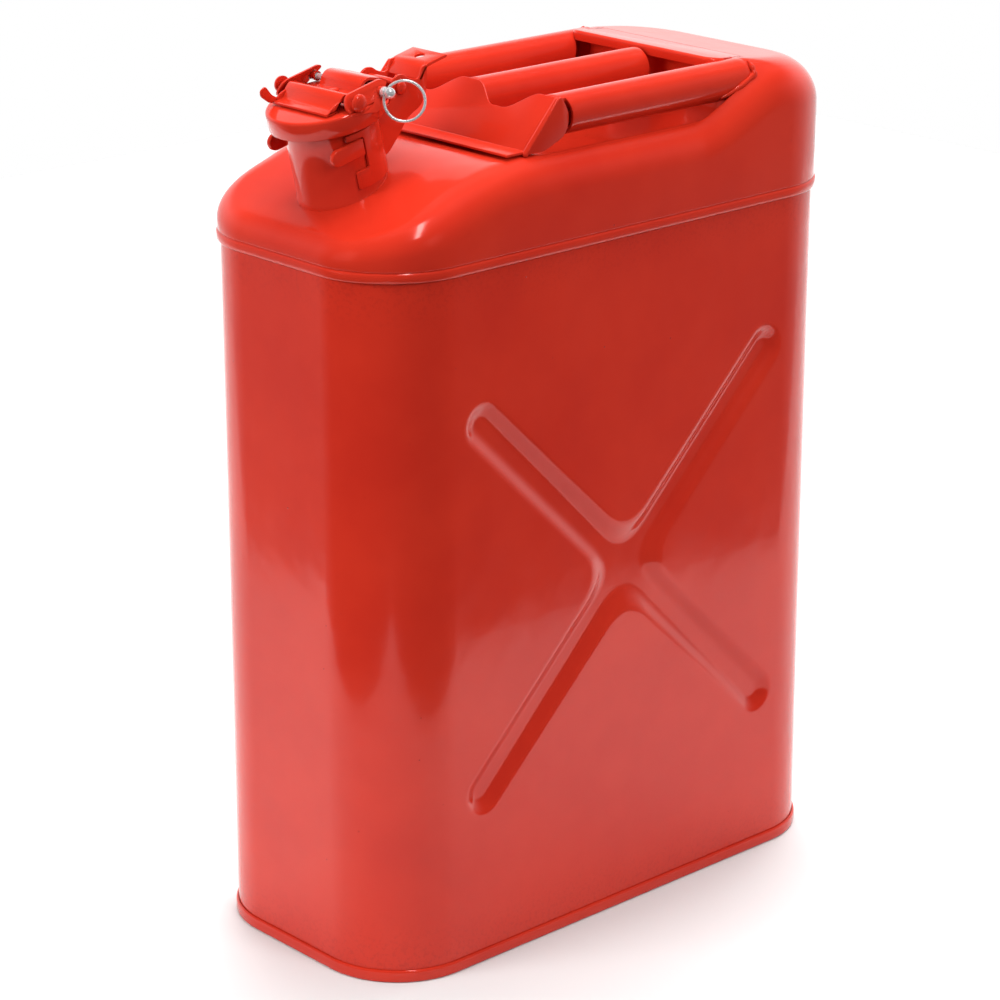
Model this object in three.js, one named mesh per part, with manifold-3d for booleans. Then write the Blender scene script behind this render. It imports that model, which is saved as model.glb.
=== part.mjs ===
// A 20 litre pressed steel fuel can with three carrying handles and a cam lever closure.
// Millimetres, +Z up, origin at the middle of the base. The spout end faces -Y, the width runs along X.
import * as THREE from "three";
import { mergeVertices } from "three/addons/utils/BufferGeometryUtils.js";
import Module from "manifold-3d";

const wasm = await Module();
wasm.setup();

// ---- Driving dimensions ----
const GAP = 0.3; // clearance between pieces that touch
const SHEET = 1.2; // steel of the tank
const STRAP = 1.5; // steel of handles and closure

const BODY_HALF_WIDTH = 81;
const BODY_HALF_LENGTH = 172.5;
const BODY_CORNER = 48;
const BODY_TOP = 398; // the sleeve ends inside the top shell
const SEAM_Z = 392; // lower edge of the top shell
const SEAM_BAND = 5;
const LAP = GAP + SHEET; // the top shell laps outside the sleeve by this much
const BASE_RIM = 7;
const BASE_FLOOR = 9;

const LEDGE_Z = 442.5;
const SHOULDER_SLOPE = 0.404;
const BLOCK_Z = 471; // highest line of the rear block, at the front edge of its plate
const BLOCK_FALL = 0.105; // the block's top falls toward the rear by this slope
const BLOCK_START = 55;
const BLOCK_END = [98, 125]; // the rise is full here in the middle and at the sides

const CROSS_Y = 2; // centre of the pressed cross
const CROSS_Z = 204;
const CROSS_REACH_Y = 106;
const CROSS_REACH_Z = 104;
const CROSS_HALF = 10;
const CROSS_DEPTH = 4;
const CROSS_DISH = 26;

const NECK_BASE = [0, -130, 426];
const NECK_TILT = THREE.MathUtils.degToRad(13.5);
const NECK_RADIUS = 23.6;
const NECK_LENGTH = 44;
const LIP_RADIUS = 25.4;
const CAP_RADIUS = 30.8;
const CAP_BOTTOM = 38; // heights and distances from here on are in the tilted neck frame
const CAP_TOP = 48;
const CAP_HINGE = [40, 40.8]; // [distance behind the neck axis, height]
const HINGE_PIN_RADIUS = 2;
const PIN_BORE = HINGE_PIN_RADIUS + 0.35;
const RIVET_Y = 7.2;
const RIVET_SHANK = 2.1;
const RIVET_HEAD = 3; // the arm's rivet through the cap
const HASP_HOLE = 2.9; // radius of the hole in the bracket's rear plate
const LEVER_PIVOT = [-1.3, 51.8];
const LEVER_HALF = 22;
const PIVOT_RADIUS = 1.6;
const EAR_TOP = 56.5; // the ears lean outward from here down
const EAR_TOP_X = 24.9;
const EAR_LEAN = 0.59;
const PIN_AXIS = [16.3, 50.9];
const PIN_RADIUS = 1.7;
const BUSH_RADIUS = 2.6;
const PIN_HEAD_X = 31.4; // the ring's cross hole
const RING_RADIUS = 10.5;
const RING_WIRE = 0.75;
const RING_AXIS = THREE.MathUtils.degToRad(41.6); // slope of the cross hole
const RING_SWUNG = THREE.MathUtils.degToRad(44.5);

const TUBE_X = 59;
const TUBE_RADIUS = 11;
const TUBE_Z = 458.3;
const TUBE_BACK = 104; // rear end of the outer two
const BULKHEAD_FOOT = [-63.3, LEDGE_Z + GAP]; // [y, z] of its lower front edge
const BULKHEAD_LEAN = Math.atan2(22.5, 24.7);
const BULKHEAD_HALF = 66;
const BULKHEAD_CREST = 36; // height up the slope of the lobe over each tube
const BULKHEAD_DIP = 23.8;
const FOOT_REACH = 11;
const FLANGE_X = BULKHEAD_HALF + 1; // inner face of the side flange
const FLANGE_BACK = -32.4;
const BRIDGE_Y = [86, 112.5];
const BRIDGE_HALF = 54;
const BRIDGE_CORNER = 15;
const BRIDGE_LIP = 5.6;

// ---- Materials ----
const enamel = () =>
  new THREE.MeshStandardMaterial({ color: 0xb8241a, roughness: 0.18, metalness: 0.1 });
const steel = () =>
  new THREE.MeshStandardMaterial({ color: 0xc9c9cc, roughness: 0.2, metalness: 1 });
const rubber = () =>
  new THREE.MeshStandardMaterial({ color: 0x1c1c1c, roughness: 0.8, metalness: 0 });

// ---- Solids ----
const { lerp, smoothstep } = THREE.MathUtils;
// Turns a drawing in (y, z) that is extruded along its own z into one extruded along +X.
const ALONG_X = new THREE.Matrix4().makeBasis(
  new THREE.Vector3(0, 1, 0),
  new THREE.Vector3(0, 0, 1),
  new THREE.Vector3(1, 0, 0),
);
// The same for a drawing in (x, z) that is extruded along -Y.
const ALONG_Y = new THREE.Matrix4().makeRotationX(Math.PI / 2);

function solidOf(geometry) {
  const bare = geometry.clone();
  bare.deleteAttribute("normal");
  bare.deleteAttribute("uv");
  const merged = mergeVertices(bare, 1e-4);
  const triVerts = new Uint32Array(merged.index.array);
  const vertProperties = merged.attributes.position.array;
  return new wasm.Manifold(new wasm.Mesh({ numProp: 3, vertProperties, triVerts }));
}

function geometryOf(solid) {
  const mesh = solid.getMesh();
  const geometry = new THREE.BufferGeometry();
  const places = new THREE.BufferAttribute(new Float32Array(mesh.vertProperties), 3);
  geometry.setAttribute("position", places);
  geometry.setIndex(new THREE.BufferAttribute(new Uint32Array(mesh.triVerts), 1));
  return geometry;
}

function join(first, ...others) {
  return others.reduce((whole, piece) => whole.add(piece), first);
}

function cut(first, ...others) {
  return others.reduce((whole, piece) => whole.subtract(piece), first);
}

function box(x, y, z) {
  const geometry = new THREE.BoxGeometry(x[1] - x[0], y[1] - y[0], z[1] - z[0]);
  geometry.translate((x[0] + x[1]) / 2, (y[0] + y[1]) / 2, (z[0] + z[1]) / 2);
  return solidOf(geometry);
}

// A drawing of points, extruded between two places along the axis that the matrix turns it to.
function prism(shape, from, to, matrix, curveSegments = 10) {
  const settings = { depth: to - from, bevelEnabled: false, curveSegments };
  const geometry = new THREE.ExtrudeGeometry(shape, settings);
  geometry.translate(0, 0, from);
  if (matrix) geometry.applyMatrix4(matrix);
  return solidOf(geometry);
}

const outline = (points) => new THREE.Shape(points.map(([a, b]) => new THREE.Vector2(a, b)));
const sideways = (points, from, to) => prism(outline(points), from, to, ALONG_X);

// A rod or tube along X, with its axis through [y, z].
function rod(radius, from, to, [y, z], sides = 20) {
  const geometry = new THREE.CylinderGeometry(radius, radius, to - from, sides);
  geometry.rotateZ(-Math.PI / 2);
  geometry.translate((from + to) / 2, y, z);
  return solidOf(geometry);
}

// A turned piece about the Z axis: the profile lists [radius, height] and closes on itself.
function turned(profile, sides = 40) {
  const points = profile.map(([r, z]) => new THREE.Vector2(r, z));
  return solidOf(new THREE.LatheGeometry([...points, points[0]], sides).rotateX(Math.PI / 2));
}

// ---- Plan outline of the tank ----
const CORNER_STEPS = 6;
const SIDE_STEPS = 15;
const END_STEPS = 4;

// One turn round the tank, inset from the sleeve's size, as [x, y] from the front right corner.
function planLoop(inset) {
  const halfX = BODY_HALF_WIDTH - inset;
  const halfY = BODY_HALF_LENGTH - inset;
  const radius = BODY_CORNER - inset;
  const points = [];
  const corner = (sx, sy, start) => {
    for (let i = 0; i <= CORNER_STEPS; i++) {
      const angle = start + (i / CORNER_STEPS) * (Math.PI / 2);
      const x = sx * (halfX - radius) + radius * Math.cos(angle);
      points.push([x, sy * (halfY - radius) + radius * Math.sin(angle)]);
    }
  };
  const straight = (steps) => {
    const [x0, y0] = points[points.length - 1];
    const along = y0 * x0 > 0 ? [-x0, y0] : [x0, -y0];
    for (let i = 1; i < steps; i++)
      points.push([lerp(x0, along[0], i / steps), lerp(y0, along[1], i / steps)]);
  };
  corner(1, -1, -Math.PI / 2);
  straight(SIDE_STEPS);
  corner(1, 1, 0);
  straight(END_STEPS);
  corner(-1, 1, Math.PI / 2);
  straight(SIDE_STEPS);
  corner(-1, -1, Math.PI);
  straight(END_STEPS);
  return points;
}

const LOOP_SIZE = 4 * (CORNER_STEPS + 1) + 2 * (SIDE_STEPS - 1) + 2 * (END_STEPS - 1);
const SIDE_ROWS = 2 * (CORNER_STEPS + 1) + SIDE_STEPS - 1; // loop points down the +X side

// A closed solid from rings of points, flat at the bottom, with its top ring filled by rows
// that run straight across from each point of the +X side to its twin on the -X side.
function ringSolid(rings, topHeight) {
  const places = rings.flat(2);
  const faces = [];
  const at = (ring, i) => ring * LOOP_SIZE + (i % LOOP_SIZE);
  for (let ring = 0; ring + 1 < rings.length; ring++)
    for (let i = 0; i < LOOP_SIZE; i++) {
      faces.push(at(ring, i), at(ring, i + 1), at(ring + 1, i + 1));
      faces.push(at(ring, i), at(ring + 1, i + 1), at(ring + 1, i));
    }
  const fill = (ring, height, upward) => {
    const row = (j) => {
      const right = at(ring, j);
      const left = at(ring, (2 * SIDE_ROWS + END_STEPS - 2 - j) % LOOP_SIZE);
      const inner = [];
      const edgeRow = j === 0 || j === SIDE_ROWS - 1;
      for (let i = 1; i < END_STEPS; i++) {
        if (edgeRow) {
          const back = SIDE_ROWS - 1 + i;
          const front = LOOP_SIZE - i;
          inner.push(at(ring, j === 0 ? front : back));
          continue;
        }
        const [x, y, z] = rings[ring][j];
        const across = lerp(x, -x, i / END_STEPS);
        inner.push(places.length / 3);
        places.push(across, y, height ? height(across, y) : z);
      }
      return [right, ...inner, left];
    };
    let before = row(0);
    for (let j = 1; j < SIDE_ROWS; j++) {
      const next = row(j);
      for (let i = 0; i < END_STEPS; i++) {
        const quad = [before[i], next[i], next[i + 1], before[i + 1]];
        const [a, b, c, d] = upward ? quad : [...quad].reverse();
        faces.push(a, b, c, a, c, d);
      }
      before = next;
    }
  };
  fill(0, null, false);
  fill(rings.length - 1, topHeight, true);
  const geometry = new THREE.BufferGeometry();
  geometry.setAttribute("position", new THREE.Float32BufferAttribute(places, 3));
  geometry.setIndex(faces);
  return solidOf(geometry);
}

const level = (inset, z) => planLoop(inset).map(([x, y]) => [x, y, z]);
const slab = (inset, from, to) => ringSolid([level(inset, from), level(inset, to)]);

// ---- Tank ----
// Depth of the pressed cross at a point of the wide side: two round-ended troughs and a dish.
function crossDepth(y, z) {
  let depth = 0;
  for (const turn of [1, -1]) {
    const reach = Math.hypot(CROSS_REACH_Y, CROSS_REACH_Z);
    const along = [CROSS_REACH_Y / reach, (turn * CROSS_REACH_Z) / reach];
    const dy = y - CROSS_Y;
    const dz = z - CROSS_Z;
    const run = THREE.MathUtils.clamp(dy * along[0] + dz * along[1], -reach, reach);
    const away = Math.hypot(dy - run * along[0], dz - run * along[1]);
    depth = Math.max(depth, 1 - smoothstep(away, CROSS_HALF * 0.3, CROSS_HALF * 1.3));
  }
  const middle = Math.hypot(y - CROSS_Y, z - CROSS_Z);
  return CROSS_DEPTH * Math.max(depth, 1 - smoothstep(middle, 4, CROSS_DISH));
}

function sleeveWall(inset, from, to) {
  const rings = [level(inset, from)];
  const rows = 18;
  const low = CROSS_Z - CROSS_REACH_Z - 14;
  const high = CROSS_Z + CROSS_REACH_Z + 14;
  for (let i = 0; i <= rows; i++) {
    const z = lerp(low, high, i / rows);
    const press = ([x, y]) => {
      const flat = Math.abs(x) > BODY_HALF_WIDTH - inset - 0.01;
      return [flat ? x - Math.sign(x) * crossDepth(y, z) : x, y, z];
    };
    rings.push(planLoop(inset).map(press));
  }
  rings.push(level(inset, to));
  return ringSolid(rings);
}

const bodySleeve = () =>
  cut(sleeveWall(0, GAP + SHEET, BODY_TOP), sleeveWall(SHEET, 0, BODY_TOP + 5));

// The base is a raised pan whose edge folds round the foot of the sleeve.
function basePan() {
  const rim = cut(slab(-LAP, 0, BASE_RIM), slab(-GAP, SHEET, BASE_RIM + 5));
  const inside = SHEET + GAP;
  const under = slab(inside + SHEET, -5, BASE_FLOOR - SHEET);
  return cut(join(rim, slab(inside, 0, BASE_FLOOR)), under);
}

const blockHeight = (y) => BLOCK_Z - BLOCK_FALL * (y - BRIDGE_Y[0]);

// Height of the top of the tank along its length: shoulder, ledge and rear block.
function ledgeHeight(x, y) {
  const shoulder = NECK_BASE[2] + SHOULDER_SLOPE * (y - NECK_BASE[1]);
  const soft = 5;
  const gap = (LEDGE_Z - shoulder) / soft;
  const joined = LEDGE_Z - soft * Math.log(1 + Math.exp(gap));
  const end = lerp(...BLOCK_END, smoothstep(Math.abs(x), 50, 72));
  return lerp(joined, blockHeight(y), smoothstep(y, BLOCK_START, end));
}

// Radius of the rounded top edge: tight at the front rim and widest round the rear block.
function edgeRadius(y) {
  const ledge = lerp(9, 20, smoothstep(y, -172, -120));
  return lerp(ledge, 24, smoothstep(y, 60, 100));
}

function topBody(inset, bottom) {
  const rings = [level(inset, bottom)];
  const steps = 5;
  for (let i = 0; i <= steps; i++) {
    const angle = (i / steps) * (Math.PI / 2);
    const edge = planLoop(inset).map(([x, y], index) => {
      const radius = edgeRadius(y);
      const turn = radius * (1 - Math.cos(angle));
      const [ex, ey] = planLoop(inset + turn)[index];
      return [ex, ey, ledgeHeight(ex, ey) - inset - LAP - radius * (1 - Math.sin(angle))];
    });
    rings.push(edge);
  }
  return ringSolid(rings, (x, y) => ledgeHeight(x, y) - inset - LAP);
}

// The hand pocket between the ledges, a tapered hollow; grow thickens it all round.
function pocket(grow) {
  const ring = (z, halfX, front, back) => [
    [halfX + grow, front - grow, z],
    [halfX + grow, back + grow, z],
    [-halfX - grow, back + grow, z],
    [-halfX - grow, front - grow, z],
  ];
  const rings = [
    ring(418 - grow, 26, -22, 70),
    ring(LEDGE_Z, 70, -56, 96),
    ring(BLOCK_Z + 20, 70, -56, 97),
  ];
  const places = rings.flat(2);
  const faces = [0, 3, 2, 0, 2, 1, 8, 9, 10, 8, 10, 11];
  for (const low of [0, 4])
    for (let i = 0; i < 4; i++) {
      const j = (i + 1) % 4;
      faces.push(low + i, low + j, low + 4 + j, low + i, low + 4 + j, low + 4 + i);
    }
  const geometry = new THREE.BufferGeometry();
  geometry.setAttribute("position", new THREE.Float32BufferAttribute(places, 3));
  geometry.setIndex(faces);
  const hollow = solidOf(geometry);
  const rooms = tubeSpaces(TUBE_RADIUS + GAP + grow, BLOCK_START, TUBE_BACK + GAP + grow);
  const half = BRIDGE_HALF + GAP + grow;
  const back = BRIDGE_Y[1] + GAP + grow;
  const seat = box([-half, half], [BLOCK_START, back], [-STRAP - GAP - grow, 20]);
  return join(hollow, ...rooms, onBlock(seat));
}

// Moves a solid from level ground at z = 0 onto the sloping top of the rear block.
function onBlock(solid) {
  const slope = new THREE.Matrix4().set(
    1, 0, 0, 0,
    0, 1, 0, 0,
    0, -BLOCK_FALL, 1, blockHeight(0),
    0, 0, 0, 1,
  );
  return solidOf(geometryOf(solid).applyMatrix4(slope));
}

// Round bars along both outer handles.
function tubeSpaces(radius, from, to) {
  return [-TUBE_X, TUBE_X].map((x) => {
    const bar = new THREE.CylinderGeometry(radius, radius, to - from, 28);
    return solidOf(bar.translate(x, (from + to) / 2, TUBE_Z));
  });
}

function inNeckFrame(solid) {
  const turn = new THREE.Matrix4().makeRotationX(NECK_TILT);
  const place = new THREE.Matrix4().makeTranslation(...NECK_BASE).multiply(turn);
  return solidOf(geometryOf(solid).applyMatrix4(place));
}

function topShell() {
  const outer = cut(topBody(-LAP, SEAM_Z), pocket(0));
  const inner = cut(topBody(SHEET - LAP, SEAM_Z - 5), pocket(SHEET));
  const band = cut(slab(-LAP - 0.6, SEAM_Z, SEAM_Z + SEAM_BAND), slab(-GAP, SEAM_Z - 5, 420));
  const hole = turned([
    [0, -30],
    [NECK_RADIUS + GAP, -30],
    [NECK_RADIUS + GAP, 20],
    [0, 20],
  ]);
  return cut(join(cut(outer, inner), band), inNeckFrame(hole));
}

// ---- Handles ----
const SLOPE = [Math.sin(BULKHEAD_LEAN), Math.cos(BULKHEAD_LEAN)]; // up the bulkhead, as [y, z]

// Height up the slope of the bulkhead's edge: a lobe over each tube and a dip between them.
function bulkheadEdge(x) {
  const run = Math.min(...[-TUBE_X, 0, TUBE_X].map((middle) => Math.abs(x - middle)));
  return lerp(BULKHEAD_CREST, BULKHEAD_DIP, smoothstep(run, 5, 26));
}

function bulkheadFace() {
  const columns = 60;
  const points = [[BULKHEAD_HALF, 0]];
  for (let i = 0; i <= columns; i++) {
    const x = lerp(BULKHEAD_HALF, -BULKHEAD_HALF, i / columns);
    points.push([x, bulkheadEdge(x)]);
  }
  points.push([-BULKHEAD_HALF, 0]);
  return outline(points);
}

function handleBulkhead() {
  const [y, z] = BULKHEAD_FOOT;
  const upright = new THREE.Matrix4()
    .makeTranslation(0, y + STRAP, z)
    .multiply(new THREE.Matrix4().makeRotationX(Math.PI / 2 - BULKHEAD_LEAN));
  const face = prism(bulkheadFace(), 0, STRAP, upright);
  const foot = box([-BULKHEAD_HALF, BULKHEAD_HALF], [y - FOOT_REACH, y + 4], [z, z + STRAP]);
  const top = [y + SLOPE[0] * BULKHEAD_CREST, z + SLOPE[1] * BULKHEAD_CREST];
  const flange = [
    [y, z],
    [y + 14, z],
    [FLANGE_BACK - 3, z + 6],
    [FLANGE_BACK, z + 12],
    [FLANGE_BACK, z + 18],
    [FLANGE_BACK - 3, z + 23.5],
    [top[0] + 1.5, top[1]],
    top,
  ];
  const flanges = [FLANGE_X, -FLANGE_X - STRAP].map((low) => sideways(flange, low, low + STRAP));
  const deep = STRAP / SLOPE[1]; // the sheet's thickness measured along Y
  const strip = [
    [y, z],
    [y + deep, z],
    [top[0] + deep - 1, top[1] - 1],
    top,
  ];
  const folds = [BULKHEAD_HALF - 1, -BULKHEAD_HALF - 2].map((low) => sideways(strip, low, low + 3));
  return join(face, foot, ...flanges, ...folds);
}

// A rolled handle: an open tube whose slit faces down. Its front end is cut to the bulkhead's
// slope, and the outer two are also cut back where the bulkhead's flanges lie beside them.
function handleTube(x, back) {
  const shape = new THREE.Shape();
  const slit = 0.5; // half angle of the slit, radians
  const from = -Math.PI / 2 + slit;
  const to = (3 * Math.PI) / 2 - slit;
  shape.absarc(x, TUBE_Z, TUBE_RADIUS, from, to, false);
  shape.absarc(x, TUBE_Z, TUBE_RADIUS - STRAP, to, from, true);
  const tube = prism(shape, -back, -BULKHEAD_FOOT[0], ALONG_Y, 10);
  const behind = (STRAP + GAP) / SLOPE[1];
  const [y, z] = [BULKHEAD_FOOT[0] + behind, BULKHEAD_FOOT[1]];
  const front = [
    [y - 60, z - 30],
    [y - SLOPE[0] * 40, z - SLOPE[1] * 40],
    [y + SLOPE[0] * 60, z + SLOPE[1] * 60],
    [y - 60, z + 60],
  ];
  const reach = 20; // further than the tube's own size
  const beside = FLANGE_X - 1 - GAP;
  const notches = [beside, -beside - reach].map((low) =>
    box([low, low + reach], [y - reach, FLANGE_BACK + 2 * GAP], [z - reach, z + 2 * reach]),
  );
  return cut(tube, sideways(front, x - reach, x + reach), ...notches);
}

// The plate at the head of the rear block, folded down along its front edge, whose corners
// sweep back to the handles.
function rearBridge() {
  const plan = (inset, back) => {
    const [half, front, radius] = [BRIDGE_HALF - inset, BRIDGE_Y[0] + inset, BRIDGE_CORNER - inset];
    const shape = new THREE.Shape();
    shape.moveTo(half, back);
    shape.lineTo(-half, back);
    shape.absarc(-half + radius, front + radius, radius, Math.PI, 1.5 * Math.PI, false);
    shape.absarc(half - radius, front + radius, radius, 1.5 * Math.PI, 2 * Math.PI, false);
    return shape;
  };
  const [front, back] = BRIDGE_Y;
  const plate = prism(plan(0, back), -STRAP, 0);
  const skirt = prism(plan(0, front + BRIDGE_CORNER), -BRIDGE_LIP, -STRAP / 2);
  const inside = prism(plan(STRAP, back), -BRIDGE_LIP - 1, -STRAP / 2);
  const beside = tubeSpaces(TUBE_RADIUS + GAP, front, back + 1);
  return cut(onBlock(join(plate, cut(skirt, inside))), ...beside);
}

// ---- Closure, drawn in the tilted frame of the neck: [distance behind the axis, height] ----
const neck = () =>
  turned([
    [NECK_RADIUS - SHEET, -12],
    [NECK_RADIUS, -12],
    [NECK_RADIUS, NECK_LENGTH - 3],
    [LIP_RADIUS, NECK_LENGTH - 2],
    [LIP_RADIUS, NECK_LENGTH],
    [NECK_RADIUS - SHEET, NECK_LENGTH],
  ]);

function ventTube() {
  const place = new THREE.Matrix4().makeTranslation(0, NECK_RADIUS - SHEET - GAP - 3.5, 0);
  const tube = turned(
    [
      [2.6, -60],
      [3.5, -60],
      [3.5, 34],
      [2.6, 34],
    ],
    12,
  );
  return solidOf(geometryOf(tube).applyMatrix4(place));
}

// A round-ended catch on each side of the neck; it grows backward into the bracket's notch.
const LUG = { front: -22, back: -0.5, low: 22.5, high: 31.5, inner: NECK_RADIUS + GAP };

function neckLug() {
  const half = (LUG.high - LUG.low) / 2;
  const middle = (LUG.high + LUG.low) / 2;
  const shape = new THREE.Shape();
  shape.moveTo(LUG.back, LUG.low);
  shape.lineTo(LUG.back, LUG.high);
  shape.lineTo(LUG.front + half, LUG.high);
  shape.absarc(LUG.front + half, middle, half, Math.PI / 2, (3 * Math.PI) / 2, false);
  shape.lineTo(LUG.back, LUG.low);
  return prism(shape, LUG.inner, LUG.inner + 3, ALONG_X, 8);
}

const BAND_INNER = NECK_RADIUS + GAP;
const BAND_OUTER = BAND_INNER + 1.8;
const CHEEK = [11.8, 13.3];

// The bracket grips the rear half of the neck and carries two cheeks and a drilled rear plate.
function hingeBracket() {
  const ring = turned([
    [BAND_INNER, 5],
    [BAND_OUTER, 5],
    [BAND_OUTER, 35],
    [BAND_INNER, 35],
  ]);
  const window = sideways(
    [
      [-40, 0],
      [-6.5, 0],
      [-6.5, 14.5],
      [1, 14.5],
      [1, 31.8],
      [-40, 31.8],
    ],
    -40,
    40,
  );
  const front = box([-40, 40], [-40, -9], [30, 40]);
  const band = cut(ring, window, front);
  const [hy, hz] = CAP_HINGE;
  const side = outline([
    [21.5, 10],
    [25, 11],
    [34, 17.5],
    [41, 23.8],
    [52, 26.6],
    [57, 33.5],
    [60, 44.3],
    [60, 46],
    [57, 46],
    [53, 40],
    [hy + 6.5, hz + 3],
    [hy + 4, hz + 6],
    [hy, hz + 7.2],
    [hy - 4.5, hz + 5.6],
    [hy - 7, hz + 1],
    [31.8, 35],
    [21.5, 35],
  ]);
  const cheeks = [-1, 1].map((way) => {
    const from = way > 0 ? CHEEK[0] : -CHEEK[1];
    return prism(side, from, from + CHEEK[1] - CHEEK[0], ALONG_X);
  });
  const rear = sideways(
    [
      [53, 40],
      [54.5, 39.2],
      [60, 44.6],
      [74.5, 44.6],
      [74.5, 46.2],
      [59.4, 46.2],
    ],
    -CHEEK[1],
    CHEEK[1],
  );
  const drill = turned([
    [0, 30],
    [HASP_HOLE, 30],
    [HASP_HOLE, 60],
    [0, 60],
  ], 16);
  const hole = solidOf(geometryOf(drill).translate(0, 67, 0));
  const bore = rod(PIN_BORE, -20, 20, CAP_HINGE);
  return cut(join(band, ...cheeks, rear), hole, bore);
}

const hingePin = () =>
  join(
    rod(HINGE_PIN_RADIUS, -14.3, 14.3, CAP_HINGE),
    rod(3.4, 13.6, 15.4, CAP_HINGE),
    rod(3.4, -15.4, -13.6, CAP_HINGE),
  );

// The cap is a drawn lid with a rounded edge.
function cap() {
  const lid = turned([
    [CAP_RADIUS - SHEET, CAP_BOTTOM],
    [CAP_RADIUS, CAP_BOTTOM],
    [CAP_RADIUS - 0.3, CAP_TOP - 2.6],
    [CAP_RADIUS - 1.1, CAP_TOP - 0.8],
    [CAP_RADIUS - 2.9, CAP_TOP],
    [0, CAP_TOP],
    [0, CAP_TOP - SHEET],
    [CAP_RADIUS - 3, CAP_TOP - SHEET],
    [CAP_RADIUS - SHEET, CAP_TOP - 3],
  ]);
  return cut(lid, rivetBore());
}

const rivetBore = () => upright(RIVET_SHANK + GAP, 40, 60, RIVET_Y);

// A round post along the neck's axis, set back by y.
function upright(radius, from, to, y, sides = 16) {
  const geometry = new THREE.CylinderGeometry(radius, radius, to - from, sides);
  geometry.rotateX(Math.PI / 2);
  return solidOf(geometry.translate(0, y, (from + to) / 2));
}

const capGasket = () =>
  turned([
    [12.5, NECK_LENGTH + GAP],
    [CAP_RADIUS - 3.6, NECK_LENGTH + GAP],
    [CAP_RADIUS - 3.6, CAP_TOP - SHEET - GAP],
    [12.5, CAP_TOP - SHEET - GAP],
  ]);

// The rivet holds the strap of the arm to the cap.
function capRivet() {
  const below = CAP_TOP - SHEET - GAP;
  const above = CAP_TOP + STRAP + 2 * GAP;
  const shank = upright(RIVET_SHANK, below - 1, above + 1, RIVET_Y);
  const foot = upright(RIVET_HEAD, below - 1, below, RIVET_Y);
  return join(shank, foot, upright(RIVET_HEAD, above, above + 1, RIVET_Y));
}

// A strap of even thickness along a line of points, as a closed outline.
function strapOutline(spine, thickness) {
  const left = [];
  const right = [];
  spine.forEach(([a, b], i) => {
    const [pa, pb] = spine[Math.max(i - 1, 0)];
    const [na, nb] = spine[Math.min(i + 1, spine.length - 1)];
    const run = Math.hypot(na - pa, nb - pb);
    const across = [((pb - nb) / run) * (thickness / 2), ((na - pa) / run) * (thickness / 2)];
    left.push([a + across[0], b + across[1]]);
    right.push([a - across[0], b - across[1]]);
  });
  return [...left, ...right.reverse()];
}

// The arm is a strap: flat on the cap, humped over the pin and curled round the hinge pin.
function capArm() {
  const low = CAP_TOP + GAP + STRAP / 2;
  const profile = strapOutline(
    [
      [4, low],
      [11, low],
      [13, low + 2],
      [14.5, low + 4],
      [17, low + 5.3],
      [20, low + 5.2],
      [24, low + 3.4],
      [29, low + 1],
      [33, low - 1.6],
      [37.6, 43.4],
      [38.6, 43],
    ],
    STRAP,
  );
  const slimHalf = CHEEK[0] - 2 * GAP;
  const wide = cut(sideways(profile, -15.8, 15.8), box([-16, 16], [26, 60], [30, 60]));
  const slim = sideways(profile, -slimHalf, slimHalf);
  const knuckle = rod(4, -slimHalf, slimHalf, CAP_HINGE);
  const bores = [rod(PIN_BORE, -20, 20, CAP_HINGE), rivetBore()];
  return cut(join(wide, slim, knuckle), ...bores);
}

// One ear of the yoke: a plate that leans outward past the edge of the cap.
function yokeEar(way) {
  const shape = outline([
    [-6.2, 46.8],
    [-4.4, 46.2],
    [3.3, 44.8],
    [8.7, 43.3],
    [14.6, 48.4],
    [21.8, 53.4],
    [20.6, 55.2],
    [18.4, 56.1],
    [-2.4, 56.1],
    [-5.4, 54.8],
    [-7.4, 52.2],
    [-8, 49.4],
  ]);
  const plate = geometryOf(prism(shape, EAR_TOP_X - STRAP, EAR_TOP_X, ALONG_X));
  const lean = new THREE.Matrix4().set(
    1, 0, -EAR_LEAN, EAR_LEAN * EAR_TOP,
    0, 1, 0, 0,
    0, 0, 1, 0,
    0, 0, 0, 1,
  );
  plate.applyMatrix4(lean);
  const lid = upright(CAP_RADIUS + GAP, 30, CAP_TOP + GAP, 0, 48);
  const bores = [
    rod(PIVOT_RADIUS + GAP, 10, 40, LEVER_PIVOT),
    rod(BUSH_RADIUS + GAP, 10, 40, PIN_AXIS),
  ];
  const ear = cut(solidOf(plate), lid, ...bores);
  return way > 0 ? ear : ear.mirror([1, 0, 0]);
}

const earX = (z) => EAR_TOP_X + EAR_LEAN * (EAR_TOP - z); // outer face of an ear

// The bush lines the ear's hole for the locking pin.
function pinBush(way) {
  const outer = earX(PIN_AXIS[1]) + 0.9;
  const bore = rod(PIN_RADIUS + GAP, 10, 40, PIN_AXIS);
  const bush = cut(rod(BUSH_RADIUS, outer - 6.2, outer, PIN_AXIS), bore);
  return way > 0 ? bush : bush.mirror([1, 0, 0]);
}

// The pivot runs from ear to ear and is headed over into a round boss outside each.
function leverPivot() {
  const face = earX(LEVER_PIVOT[1] - 4.3) + GAP;
  const boss = (way) => {
    const end = face + 3.2;
    const [from, to] = way > 0 ? [face, end] : [-end, -face];
    return rod(4.3, from, to, LEVER_PIVOT);
  };
  return join(rod(PIVOT_RADIUS, -face - 0.5, face + 0.5, LEVER_PIVOT), boss(1), boss(-1));
}

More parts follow.
